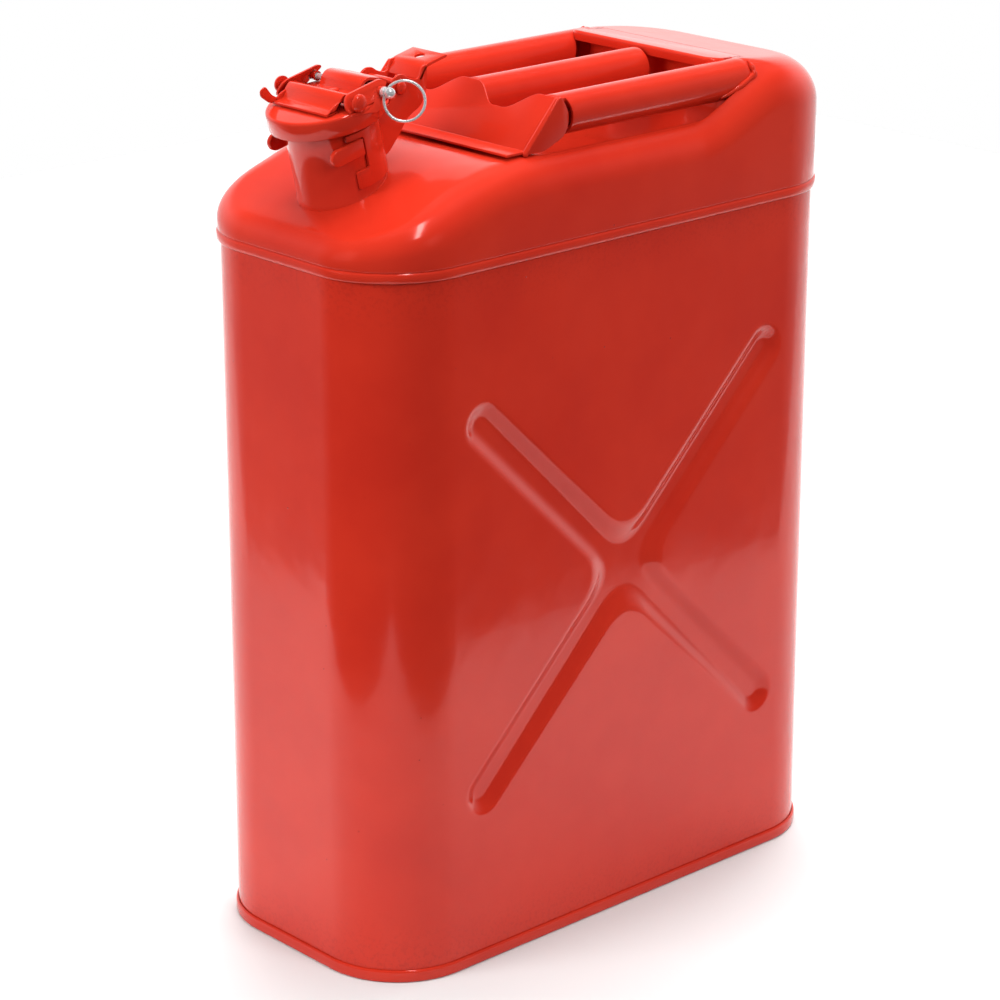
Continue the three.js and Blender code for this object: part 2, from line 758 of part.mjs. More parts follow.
// The thumb lever: a lip on the cap, a sloping face and a roll round the pivot.
function thumbLever() {
  const [py, pz] = LEVER_PIVOT;
  const roll = 2.7;
  const curl = [50, 20, -10, -40, -70].map((degrees) => {
    const angle = THREE.MathUtils.degToRad(degrees);
    return [py + roll * Math.cos(angle), pz + roll * Math.sin(angle)];
  });
  const slope = [
    [py - 15.2, pz - 2.45],
    [py - 8.5, pz - 2.45],
    [py - 3.6, pz + 1.9],
    [py - 1.4, pz + 3.3],
  ];
  const sheet = strapOutline([...slope, ...curl], SHEET);
  const gusset = [
    [py - 15, pz - 2.9],
    [py - 7.5, pz - 2.9],
    [py - 3, pz + 1.4],
    [py - 8.6, pz + 0.6],
    [py - 12, pz - 0.8],
  ];
  const tab = [
    [py - 14, pz - 2.9],
    [py - 17, pz - 2.6],
    [py - 21.6, pz + 3.4],
    [py - 21.2, pz + 5.8],
    [py - 18, pz + 7.2],
    [py - 14.9, pz + 6.4],
    [py - 13.7, pz + 2.4],
    [py - 13.2, pz - 1],
  ];
  return join(
    sideways(sheet, -LEVER_HALF, LEVER_HALF),
    sideways(gusset, LEVER_HALF - SHEET, LEVER_HALF),
    sideways(gusset, -LEVER_HALF, SHEET - LEVER_HALF),
    sideways(tab, -LEVER_HALF, SHEET - LEVER_HALF),
  );
}

function lockPin() {
  const [y, z] = PIN_AXIS;
  const ball = new THREE.SphereGeometry(2.9, 16, 10).translate(PIN_HEAD_X + 3.2, y, z);
  const body = join(
    rod(PIN_RADIUS, -29, PIN_HEAD_X, PIN_AXIS),
    rod(2.7, PIN_HEAD_X - 2, PIN_HEAD_X + 3, PIN_AXIS),
    solidOf(ball),
  );
  const drill = new THREE.CylinderGeometry(1.35, 1.35, 12, 12);
  drill.rotateX(RING_AXIS).translate(PIN_HEAD_X, y, z);
  return cut(body, solidOf(drill));
}

// The ring hangs in the cross hole, swung out from the pin's end.
function pullRing() {
  const along = new THREE.Vector3(0, Math.cos(RING_AXIS), Math.sin(RING_AXIS));
  const hang = new THREE.Vector3(0, Math.sin(RING_AXIS), -Math.cos(RING_AXIS));
  const out = hang.multiplyScalar(Math.cos(RING_SWUNG)).add(
    new THREE.Vector3(Math.sin(RING_SWUNG), 0, 0),
  );
  const turn = new THREE.Matrix4().makeBasis(out, along, out.clone().cross(along));
  const geometry = new THREE.TorusGeometry(RING_RADIUS, RING_WIRE, 6, 28);
  geometry.translate(RING_RADIUS, 0, 0).applyMatrix4(turn);
  return solidOf(geometry.translate(PIN_HEAD_X, ...PIN_AXIS));
}

// ---- Assembly ----
function addPiece(group, name, solid, material) {
  const mesh = new THREE.Mesh(geometryOf(solid), material);
  mesh.name = name;
  group.add(mesh);
}

const group = new THREE.Group();
addPiece(group, "body_sleeve", bodySleeve(), enamel());
addPiece(group, "base_pan", basePan(), enamel());
addPiece(group, "top_shell", topShell(), enamel());
addPiece(group, "handle_bulkhead", handleBulkhead(), enamel());
addPiece(group, "handle_tube_left", handleTube(-TUBE_X, TUBE_BACK), enamel());
addPiece(group, "handle_tube_center", handleTube(0, BRIDGE_Y[0] - GAP), enamel());
addPiece(group, "handle_tube_right", handleTube(TUBE_X, TUBE_BACK), enamel());
addPiece(group, "rear_bridge", rearBridge(), enamel());

const closure = new THREE.Group();
closure.position.set(...NECK_BASE);
closure.rotation.x = NECK_TILT;
addPiece(closure, "neck", neck(), enamel());
addPiece(closure, "vent_tube", ventTube(), steel());
addPiece(closure, "neck_lug_right", neckLug(), enamel());
addPiece(closure, "neck_lug_left", neckLug().mirror([1, 0, 0]), enamel());
addPiece(closure, "hinge_bracket", hingeBracket(), enamel());
addPiece(closure, "hinge_pin", hingePin(), enamel());
addPiece(closure, "cap", cap(), enamel());
addPiece(closure, "cap_gasket", capGasket(), rubber());
addPiece(closure, "cap_rivet", capRivet(), enamel());
addPiece(closure, "cap_arm", capArm(), enamel());
addPiece(closure, "yoke_ear_right", yokeEar(1), enamel());
addPiece(closure, "yoke_ear_left", yokeEar(-1), enamel());
addPiece(closure, "pin_bush_right", pinBush(1), enamel());
addPiece(closure, "pin_bush_left", pinBush(-1), enamel());
addPiece(closure, "lever_pivot", leverPivot(), enamel());
addPiece(closure, "thumb_lever", thumbLever(), enamel());
addPiece(closure, "lock_pin", lockPin(), steel());
addPiece(closure, "pull_ring", pullRing(), steel());
group.add(closure);

export default group;
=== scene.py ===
import math

import bmesh
import bpy
from mathutils import Matrix, Vector


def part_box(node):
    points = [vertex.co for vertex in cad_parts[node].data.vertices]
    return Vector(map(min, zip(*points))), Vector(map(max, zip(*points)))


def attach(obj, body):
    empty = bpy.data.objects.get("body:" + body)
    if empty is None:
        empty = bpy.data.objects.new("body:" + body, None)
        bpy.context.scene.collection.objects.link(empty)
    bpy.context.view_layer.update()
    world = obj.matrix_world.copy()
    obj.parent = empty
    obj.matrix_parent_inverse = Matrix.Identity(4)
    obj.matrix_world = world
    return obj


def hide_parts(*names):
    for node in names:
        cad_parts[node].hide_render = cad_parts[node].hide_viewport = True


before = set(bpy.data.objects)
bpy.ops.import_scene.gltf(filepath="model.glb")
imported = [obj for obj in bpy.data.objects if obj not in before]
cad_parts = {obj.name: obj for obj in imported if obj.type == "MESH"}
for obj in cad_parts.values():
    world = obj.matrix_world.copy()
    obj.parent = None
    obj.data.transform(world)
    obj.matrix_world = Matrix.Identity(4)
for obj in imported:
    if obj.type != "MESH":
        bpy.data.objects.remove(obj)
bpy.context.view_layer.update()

MM = 0.001

# ---- Sizes taken from the frame ----
sleeve_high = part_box("body_sleeve")[1] / MM
shell_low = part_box("top_shell")[0] / MM
tube_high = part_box("handle_tube_right")[1] / MM
bridge_low, bridge_high = (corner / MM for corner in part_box("rear_bridge"))

# ---- Sizes of the tank ----
GAP = 0.3  # clearance between neighbouring parts
SHEET = 1.2  # thickness of the tank, cap and lever
STRAP = 1.5  # thickness of the handles and brackets
HALF_WIDTH = sleeve_high.x
HALF_LENGTH = sleeve_high.y
CORNER = 48
LAP = GAP + SHEET
SEAM_Z = shell_low.z
BASE_RIM = 7
BASE_FLOOR = 9
SHOULDER_RISE = 0.404
LEDGE_Z = 442.5
LEDGE_BLEND = 5
BLOCK_Z = bridge_high.z
BLOCK_FRONT = bridge_low.y
BLOCK_FALL = 0.105
BLOCK_START = 55
BLOCK_END = (98, 125)  # where the rise to the block ends: over the pocket, and at the sides
BLOCK_END_X = (50, 72)
TOP_EDGE = {"front": 9, "ledge": 20, "block": 24}  # radius of the rounded top edge

CROSS_MIDDLE = (2, 204)  # y and z
CROSS_REACH = (106, 104)  # from the middle to the end of an arm, along y and z
CROSS_DEPTH = 4
CROSS_SPAN = (76, 332)  # heights between which the sleeve is pressed
TROUGH_FLOOR = 3.5
TROUGH_EDGE = 13.5
TROUGH_BLEND = 22

POCKET_HALF = 70
POCKET_FLOOR = 418
POCKET_FLOOR_HALF = 26
POCKET_FLOOR_Y = (-22, 70)
POCKET_RUN_Y = (34, 26)  # how far the front and rear walls slope
POCKET_BLEND = 4

NECK_BASE = Vector((0, -130, 426))
NECK_TILT = math.radians(13.5)
NECK_RADIUS = 23.6
NECK_LENGTH = 44
LIP_RADIUS = 25.4
CAP_RADIUS = 30.8
CAP_BOTTOM = 38
CAP_TOP = 48
CAP_HINGE = (40, 40.8)
CHEEK = (11.8, 13.3)  # inner and outer face of a bracket cheek
HASP_HOLE = (67, 2.9)  # distance behind the neck's axis, and radius
ARM_HALF = 15.8
RIVET_Y = 7.2
LEVER_PIVOT = (-1.3, 51.8)
LEVER_HALF = 22
EAR_TOP = 56.5
EAR_TOP_X = 24.9
EAR_LEAN = 0.59
BOSS_RADIUS = 4.6
PIN_AXIS = (16.3, 50.9)
PIN_RADIUS = 1.7
PIN_HEAD_X = 31.4
RING_RADIUS = 10.5
RING_WIRE = 0.75
RING_AXIS = math.radians(41.6)
RING_SWUNG = math.radians(44.5)

TUBE_RADIUS = 11
TUBE_X = tube_high.x - TUBE_RADIUS
TUBE_Z = tube_high.z - TUBE_RADIUS
BULKHEAD_FOOT = (-63.3, LEDGE_Z + GAP)
BULKHEAD_LEAN = math.atan2(22.5, 24.7)
BULKHEAD_HALF = 66
BULKHEAD_CREST = 36
BULKHEAD_DIP = 23.8
FOOT_REACH = 11
FLANGE_X = BULKHEAD_HALF + 1
FLANGE_BACK = -32.4

IN_NECK = Matrix.Translation(NECK_BASE) @ Matrix.Rotation(NECK_TILT, 4, "X")
IN_WORLD = Matrix.Identity(4)


# ---- Small sums ----
def lerp(a, b, t):
    return a + (b - a) * t


def smoothstep(value, low, high):
    t = min(max((value - low) / (high - low), 0), 1)
    return t * t * (3 - 2 * t)


def soft_min(a, b, blend):
    """The lower of two heights, with the corner between them rounded over about blend."""
    t = min(max(0.5 + 0.5 * (b - a) / blend, 0), 1)
    return lerp(b, a, t) - blend * t * (1 - t)


def soft_max(a, b, blend):
    return -soft_min(-a, -b, blend)


# ---- Outlines ----
def rounded(points, radius, steps=4):
    """A closed outline with each corner turned into a short curve."""
    made = []
    for i, corner in enumerate(points):
        here = Vector(corner)
        before = Vector(points[i - 1]) - here
        after = Vector(points[(i + 1) % len(points)]) - here
        reach = min(radius, before.length * 0.45, after.length * 0.45)
        start = here + before.normalized() * reach
        end = here + after.normalized() * reach
        for k in range(steps + 1):
            t = k / steps
            made.append(start * (1 - t) ** 2 + here * (2 * t * (1 - t)) + end * t ** 2)
    return made


def smooth_line(points, steps=6):
    """An open line through the points, as a Catmull-Rom curve."""
    places = [Vector(p) for p in points]
    places = [2 * places[0] - places[1], *places, 2 * places[-1] - places[-2]]
    made = []
    for a, b, c, d in zip(places, places[1:], places[2:], places[3:]):
        for k in range(steps):
            t = k / steps
            made.append(
                0.5 * (2 * b + (c - a) * t + (2 * a - 5 * b + 4 * c - d) * t**2
                       + (3 * b - a - 3 * c + d) * t**3)
            )
    return made + [places[-2]]


def strap_outline(spine, thickness):
    """A strap of even thickness along a line of points, as a closed outline."""
    left, right = [], []
    for i, here in enumerate(spine):
        along = (spine[min(i + 1, len(spine) - 1)] - spine[max(i - 1, 0)]).normalized()
        across = Vector((-along.y, along.x)) * thickness / 2
        left.append(here + across)
        right.append(here - across)
    return left + right[::-1]


def arc(middle, radius, start, end, steps):
    """Points of a round stretch, with angles in degrees."""
    y, z = middle
    angles = [math.radians(lerp(start, end, k / steps)) for k in range(steps + 1)]
    return [Vector((y + radius * math.cos(a), z + radius * math.sin(a))) for a in angles]


# ---- Bodies of vertices and faces, in millimetres ----
def extrude(outline, low, high, place=IN_WORLD):
    """A plate: an outline in (y, z) carried along X from low to high."""
    count = len(outline)
    verts = [place @ Vector((x, a, b)) for x in (low, high) for a, b in outline]
    faces = [tuple(reversed(range(count))), tuple(range(count, 2 * count))]
    faces += [(i, (i + 1) % count, count + (i + 1) % count, count + i) for i in range(count)]
    return verts, faces


def lathe(profile, place=IN_WORLD, steps=96):
    """A closed profile of (radius, height) turned about the Z axis."""
    count = len(profile)
    verts = []
    for k in range(steps):
        angle = 2 * math.pi * k / steps
        for r, h in profile:
            verts.append(place @ Vector((r * math.cos(angle), r * math.sin(angle), h)))
    faces = []
    for k in range(steps):
        here, there = k * count, (k + 1) % steps * count
        for i in range(count):
            j = (i + 1) % count
            faces.append((here + i, there + i, there + j, here + j))
    return verts, faces


def along_x(middle):
    """The frame of a rod that runs along X through (y, z) of the neck's frame."""
    return IN_NECK @ Matrix.Translation((0, *middle)) @ Matrix.Rotation(math.pi / 2, 4, "Y")


def facing(profile, way):
    """The profile of a turned part as it is, or turned to face the other way."""
    return profile if way > 0 else [(r, -h) for r, h in profile[::-1]]


def rod(radius, low, high, middle, edge=0.3):
    """A rod along X with softened rims."""
    rim = edge * 0.3
    profile = [(0, low), (radius - edge, low), (radius - rim, low + rim), (radius, low + edge)]
    profile += [(radius, high - edge), (radius - rim, high - rim), (radius - edge, high), (0, high)]
    return lathe(profile, along_x(middle), 48)


def bore(radius, half, middle):
    """A cutter along X that drills a round hole through both sides of the closure."""
    return rod(radius, -half, half, middle, edge=0.01)


def sweep(path, radius, across, sides=16):
    """A closed round wire along a loop of points; across is the normal of the loop."""
    verts = []
    count = len(path)
    for i, here in enumerate(path):
        along = (path[(i + 1) % count] - path[i - 1]).normalized()
        side = along.cross(across).normalized()
        up = side.cross(along)
        size = radius(i) if callable(radius) else radius
        for k in range(sides):
            angle = 2 * math.pi * k / sides
            verts.append(here + (side * math.cos(angle) + up * math.sin(angle)) * size)
    faces = []
    for i in range(count):
        here, there = i * sides, (i + 1) % count * sides
        for k in range(sides):
            m = (k + 1) % sides
            faces.append((here + k, here + m, there + m, there + k))
    return verts, faces


def rings_to_tube(rings, closed=False):
    """Faces between rings of equal length, each ring closed on itself."""
    count = len(rings[0])
    verts = [v for ring in rings for v in ring]
    faces = []
    for r in range(len(rings) if closed else len(rings) - 1):
        here, there = r * count, (r + 1) % len(rings) * count
        for i in range(count):
            j = (i + 1) % count
            faces.append((here + i, here + j, there + j, there + i))
    return verts, faces


def joined(*bodies):
    """Several closed bodies as one."""
    verts, faces = [], []
    for more_verts, more_faces in bodies:
        faces += [tuple(len(verts) + i for i in face) for face in more_faces]
        verts += more_verts
    return verts, faces


# ---- Blender objects ----
def mesh_from(name, body):
    """A Blender mesh in metres, its doubled points merged and its faces turned outward."""
    verts, faces = body
    mesh = bpy.data.meshes.new(name)
    mesh.from_pydata([Vector(v) * MM for v in verts], [], faces)
    shape = bmesh.new()
    shape.from_mesh(mesh)
    bmesh.ops.remove_doubles(shape, verts=shape.verts, dist=1e-7)
    bmesh.ops.recalc_face_normals(shape, faces=shape.faces)
    shape.to_mesh(mesh)
    shape.free()
    return mesh


def bake_modifiers(obj):
    """Replaces the object's mesh by what its modifiers make of it."""
    bpy.context.view_layer.update()
    seen = obj.evaluated_get(bpy.context.evaluated_depsgraph_get())
    obj.data = bpy.data.meshes.new_from_object(seen)
    obj.modifiers.clear()


def cut_away(obj, *cutters):
    """Cuts closed bodies out of the piece."""
    for cutter in cutters:
        tool = bpy.data.objects.new("cutter", mesh_from("cutter", cutter))
        bpy.context.scene.collection.objects.link(tool)
        modifier = obj.modifiers.new("cut", "BOOLEAN")
        modifier.operation = "DIFFERENCE"
        modifier.solver = "EXACT"
        modifier.object = tool
        bake_modifiers(obj)
        bpy.data.objects.remove(tool)


def piece(name, body, material, rides, replaces, bevel=0.0, cutters=(),
          crease=40, thick=0.0):
    """A visible piece in place of CAD nodes: softened edges, smooth faces, riding on a body."""
    obj = bpy.data.objects.new(name, mesh_from(name, body))
    bpy.context.scene.collection.objects.link(obj)
    if thick:
        solidify = obj.modifiers.new("sheet", "SOLIDIFY")
        solidify.thickness = thick * MM
        solidify.offset = -1
        bake_modifiers(obj)
    cut_away(obj, *cutters)
    if bevel:
        soften = obj.modifiers.new("edges", "BEVEL")
        soften.width = bevel * MM
        soften.segments = 3
        soften.limit_method = "ANGLE"
        soften.angle_limit = math.radians(crease)
        bake_modifiers(obj)
    obj.data.polygons.foreach_set("use_smooth", [True] * len(obj.data.polygons))
    obj.data.set_sharp_from_angle(angle=math.radians(crease))
    obj.data.materials.clear()
    obj.data.materials.append(material)
    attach(obj, rides)
    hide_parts(*replaces)
    return obj


# ---- Materials ----
def node(tree, kind, inputs=None, **settings):
    """A shader node with its inputs linked or set."""
    made = tree.nodes.new("ShaderNode" + kind)
    for key, value in settings.items():
        setattr(made, key, value)
    for key, value in (inputs or {}).items():
        if isinstance(value, bpy.types.NodeSocket):
            tree.links.new(value, made.inputs[key])
        else:
            made.inputs[key].default_value = value
    return made


def new_material(name, colour):
    material = bpy.data.materials.new(name)
    material.use_nodes = True
    material.diffuse_color = (*colour, 1)
    tree = material.node_tree
    shader = tree.nodes["Principled BSDF"]
    shader.inputs["Base Color"].default_value = (*colour, 1)
    place = node(tree, "TexCoord").outputs["Object"]
    return material, tree, shader, place


def noise(tree, place, scale, detail=3, roughness=0.55):
    values = {"Vector": place, "Scale": scale, "Detail": detail, "Roughness": roughness}
    return node(tree, "TexNoise", values).outputs["Fac"]


def ramp(tree, value, low, high, dark=0.0, light=1.0):
    """The value, carried from the span low to high over to the span dark to light."""
    values = {"Value": value, "From Min": low, "From Max": high, "To Min": dark, "To Max": light}
    return node(tree, "MapRange", values).outputs["Result"]


def product(tree, a, b):
    return node(tree, "Math", {0: a, 1: b}, operation="MULTIPLY").outputs[0]


def mix(tree, factor, a, b):
    """A colour between two colours, each one a socket or a plain value."""
    made = node(tree, "Mix", {"Factor": factor}, data_type="RGBA")
    for socket, value in zip([s for s in made.inputs if s.type == "RGBA"], (a, b)):
        if isinstance(value, bpy.types.NodeSocket):
            tree.links.new(value, socket)
        else:
            socket.default_value = (*value, 1)
    return next(s for s in made.outputs if s.type == "RGBA")


def bump(tree, shader, heights):
    """Chains bumps of (height, depth in metres) into the shader's normal."""
    normal = None
    for height, depth in heights:
        values = {"Height": height, "Distance": depth}
        if normal:
            values["Normal"] = normal
        normal = node(tree, "Bump", values).outputs["Normal"]
    tree.links.new(normal, shader.inputs["Normal"])


def enamel_material():
    """Glossy stoved enamel: orange peel, gentle waves of the sheet, dust nibs and worn edges."""
    deep, bright = (0.54, 0.023, 0.010), (0.59, 0.029, 0.012)
    worn, dirty = (0.30, 0.014, 0.010), (0.20, 0.008, 0.006)
    material, tree, shader, place = new_material("red_enamel_paint", bright)
    cloud = ramp(tree, noise(tree, place, 16), 0.35, 0.65)
    colour = mix(tree, cloud, deep, bright)
    edges = ramp(tree, node(tree, "NewGeometry").outputs["Pointiness"], 0.56, 0.66)
    chips = ramp(tree, noise(tree, place, 420, 4, 0.7), 0.5, 0.62)
    colour = mix(tree, product(tree, edges, chips), colour, worn)
    nibs = node(tree, "TexVoronoi", {"Vector": place, "Scale": 62.0}, feature="F1").outputs["Distance"]
    rare = ramp(tree, noise(tree, place, 7, 1), 0.52, 0.6)
    speck = product(tree, ramp(tree, nibs, 0.016, 0.028, 1.0, 0.0), rare)
    colour = mix(tree, speck, colour, dirty)
    tree.links.new(colour, shader.inputs["Base Color"])
    smudge = noise(tree, place, 38, 5, 0.6)
    tree.links.new(ramp(tree, smudge, 0.3, 0.7, 0.10, 0.16), shader.inputs["Roughness"])
    shader.inputs["Metallic"].default_value = 0.06
    shader.inputs["IOR"].default_value = 1.38
    shader.inputs["Coat Weight"].default_value = 0.12
    shader.inputs["Coat Roughness"].default_value = 0.03
    peel = noise(tree, place, 620, 2, 0.5)
    wave = noise(tree, place, 26, 2, 0.5)
    bump(tree, shader, [(wave, 0.00035), (peel, 0.000012), (speck, 0.0002)])
    return material


def steel_material():
    """Bright zinc plated steel with fine drawn marks."""
    material, tree, shader, place = new_material("zinc_plated_steel", (0.62, 0.62, 0.63))
    dull, bright = (0.78, 0.78, 0.80), (0.90, 0.90, 0.90)
    marks = noise(tree, place, 900, 3, 0.6)
    cloud = noise(tree, place, 120, 4, 0.6)
    colour = mix(tree, ramp(tree, cloud, 0.35, 0.65), dull, bright)
    tree.links.new(colour, shader.inputs["Base Color"])
    tree.links.new(ramp(tree, marks, 0.3, 0.7, 0.14, 0.3), shader.inputs["Roughness"])
    shader.inputs["Metallic"].default_value = 0.7
    bump(tree, shader, [(marks, 0.00001), (cloud, 0.00002)])
    return material


def rubber_material():
    """Matt black fuel resistant rubber."""
    material, tree, shader, place = new_material("black_rubber_seal", (0.02, 0.02, 0.02))
    clean, dusty = (0.016, 0.016, 0.016), (0.04, 0.038, 0.036)
    grain = noise(tree, place, 1400, 4, 0.7)
    dust = ramp(tree, noise(tree, place, 90, 4), 0.45, 0.7)
    tree.links.new(mix(tree, dust, clean, dusty), shader.inputs["Base Color"])
    tree.links.new(ramp(tree, grain, 0.3, 0.7, 0.6, 0.8), shader.inputs["Roughness"])
    bump(tree, shader, [(grain, 0.00003)])
    return material


enamel = enamel_material()
steel = steel_material()
rubber = rubber_material()

# ---- Plan outline of the tank ----
CORNER_STEPS = 20
SIDE_STEP = 1.25
END_COLUMNS = 110


def plan_outline():
    """One turn round the sleeve from the front right corner: [x, y, outward x, outward y]."""
    points = []
    straight = HALF_LENGTH - CORNER
    rows = round(2 * straight / SIDE_STEP)

    def corner(sx, sy, start):
        for k in range(CORNER_STEPS + 1):
            angle = start + k / CORNER_STEPS * math.pi / 2
            out = (math.cos(angle), math.sin(angle))
            x = sx * (HALF_WIDTH - CORNER) + CORNER * out[0]
            points.append((x, sy * straight + CORNER * out[1], *out))

    def side(to_x, to_y, steps):
        x, y, nx, ny = points[-1]
        for k in range(1, steps):
            points.append((lerp(x, to_x, k / steps), lerp(y, to_y, k / steps), nx, ny))

    corner(1, -1, -math.pi / 2)
    side(HALF_WIDTH, straight, rows)
    corner(1, 1, 0)
    side(CORNER - HALF_WIDTH, HALF_LENGTH, END_COLUMNS)
    corner(-1, 1, math.pi / 2)
    side(-HALF_WIDTH, -straight, rows)
    corner(-1, -1, math.pi)
    side(HALF_WIDTH - CORNER, -HALF_LENGTH, END_COLUMNS)
    return points, 2 * (CORNER_STEPS + 1) + rows - 1


PLAN, SIDE_ROWS = plan_outline()


def level(inset, z):
    """A level ring: the plan outline moved inward by inset, at height z."""
    return [Vector((x - nx * inset, y - ny * inset, z)) for x, y, nx, ny in PLAN]


# ---- Tank ----
def cross_depth(y, z):
    """Depth of the pressed cross: two round-ended troughs that blend where they meet."""
    dy, dz = y - CROSS_MIDDLE[0], z - CROSS_MIDDLE[1]
    reach = math.hypot(*CROSS_REACH)
    away = []
    for turn in (1, -1):
        ay, az = CROSS_REACH[0] / reach, turn * CROSS_REACH[1] / reach
        run = min(max(dy * ay + dz * az, -reach), reach)
        away.append(math.hypot(dy - run * ay, dz - run * az))
    near = soft_min(away[0], away[1], TROUGH_BLEND)
    return CROSS_DEPTH * (1 - smoothstep(near, TROUGH_FLOOR, TROUGH_EDGE))


def tank_sleeve():
    """The wall of the tank, with the cross pressed into both wide faces."""
    low, high = CROSS_SPAN
    step = 1.4
    rows = round((high - low) / step)
    outer = [level(0, BASE_RIM - 4), level(0, low)]
    for k in range(1, rows):
        ring = level(0, low + k * step)
        for v, (x, y, nx, ny) in zip(ring, PLAN):
            if abs(nx) > 0.999:
                v.x -= nx * cross_depth(y, v.z)
        outer.append(ring)
    outer += [level(0, high), level(0, SEAM_Z + 4)]
    clear = SHEET + CROSS_DEPTH
    inner = [level(SHEET, SEAM_Z + 4), level(clear, high + 20), level(clear, high), level(clear, low)]
    inner += [level(SHEET, low - 20), level(SHEET, BASE_RIM - 4)]
    body = rings_to_tube(outer + inner, closed=True)
    piece("tank_sleeve", body, enamel, "can", ["body_sleeve"], crease=60)


def base_rim():
    """The raised bottom pan, its edge rolled round the foot of the sleeve."""
    out, inner = -LAP, SHEET + GAP
    section = [(out + 1.2, 0), (out + 0.5, 0.15), (out + 0.15, 0.5), (out, 1.2)]
    section += [(out, BASE_RIM - 1.6), (out + 0.15, BASE_RIM - 0.8)]
    section += [(out + 0.5, BASE_RIM - 0.25), (out + 1.1, BASE_RIM)]
    section += [(-GAP, BASE_RIM), (-GAP, BASE_RIM - 2), (inner, BASE_RIM - 2), (inner, BASE_FLOOR - 2)]
    pan = [(inner + 2.6, 0), (inner + 2.9, 0.8), (inner + 3.1, BASE_FLOOR - 3.6)]
    pan += [(inner + 4.2, BASE_FLOOR - 1.9), (inner + 6.5, BASE_FLOOR - SHEET)]
    rings = [level(a, z) for a, z in pan[::-1] + section]
    last = len(rings[0])
    verts, faces = rings_to_tube(rings)
    top = len(verts) - last
    faces.append(tuple(range(last)))
    faces.append(tuple(range(top, len(verts))))
    piece("base_rim", (verts, faces), enamel, "can", ["base_pan"], crease=50)


def block_height(y):
    """Height of the rear block and its plate, which fall a little to the rear."""
    return BLOCK_Z - BLOCK_FALL * (y - BLOCK_FRONT)


def ledge_height(x, y):
    """Height of the top of the tank along its length: shoulder, ledge and rear block."""
    shoulder = NECK_BASE.z + SHOULDER_RISE * (y - NECK_BASE.y)
    ledge = LEDGE_Z - LEDGE_BLEND * math.log(1 + math.exp((LEDGE_Z - shoulder) / LEDGE_BLEND))
    end = lerp(*BLOCK_END, smoothstep(abs(x), *BLOCK_END_X))
    return lerp(ledge, block_height(y), smoothstep(y, BLOCK_START, end))


def edge_drop(turn, y):
    """How far the rounded top edge lies under the ledge at a distance in from the side."""
    radius = lerp(TOP_EDGE["front"], TOP_EDGE["ledge"], smoothstep(y, -172, -120))
    radius = lerp(radius, TOP_EDGE["block"], smoothstep(y, 60, 100))
    return radius - math.sqrt(max(radius**2 - max(radius - turn, 0) ** 2, 0))


def hollow_height(x, y):
    """Floor of everything pressed into the top: hand pocket, rooms for the tube ends, plate seat."""
    side = abs(x)
    steep = 100
    front, rear = POCKET_FLOOR_Y
    rooms_start = 60

    def wall(run, reach):
        """A sloping wall of the pocket, almost upright beyond its upper edge."""
        if run < reach:
            return POCKET_FLOOR + run * (LEDGE_Z - POCKET_FLOOR) / reach
        return LEDGE_Z + (run - reach) * steep

    ramps = soft_max(wall(front - y, POCKET_RUN_Y[0]), wall(y - rear, POCKET_RUN_Y[1]), POCKET_BLEND)
    sides = wall(side - POCKET_FLOOR_HALF, POCKET_HALF - POCKET_FLOOR_HALF)
    pocket = soft_max(soft_max(sides, ramps, POCKET_BLEND), POCKET_FLOOR, POCKET_BLEND)
    room = max(abs(side - TUBE_X) - 8, y - tube_high.y + 3, rooms_start - y, 0)
    seat = max(side - bridge_high.x + 1, y - bridge_high.y + 1.6, rooms_start - y, 0)
    under_tube = TUBE_Z - TUBE_RADIUS - 1
    under_plate = block_height(y) - STRAP - GAP
    return min(pocket, under_tube + room * steep, under_plate + seat * steep)


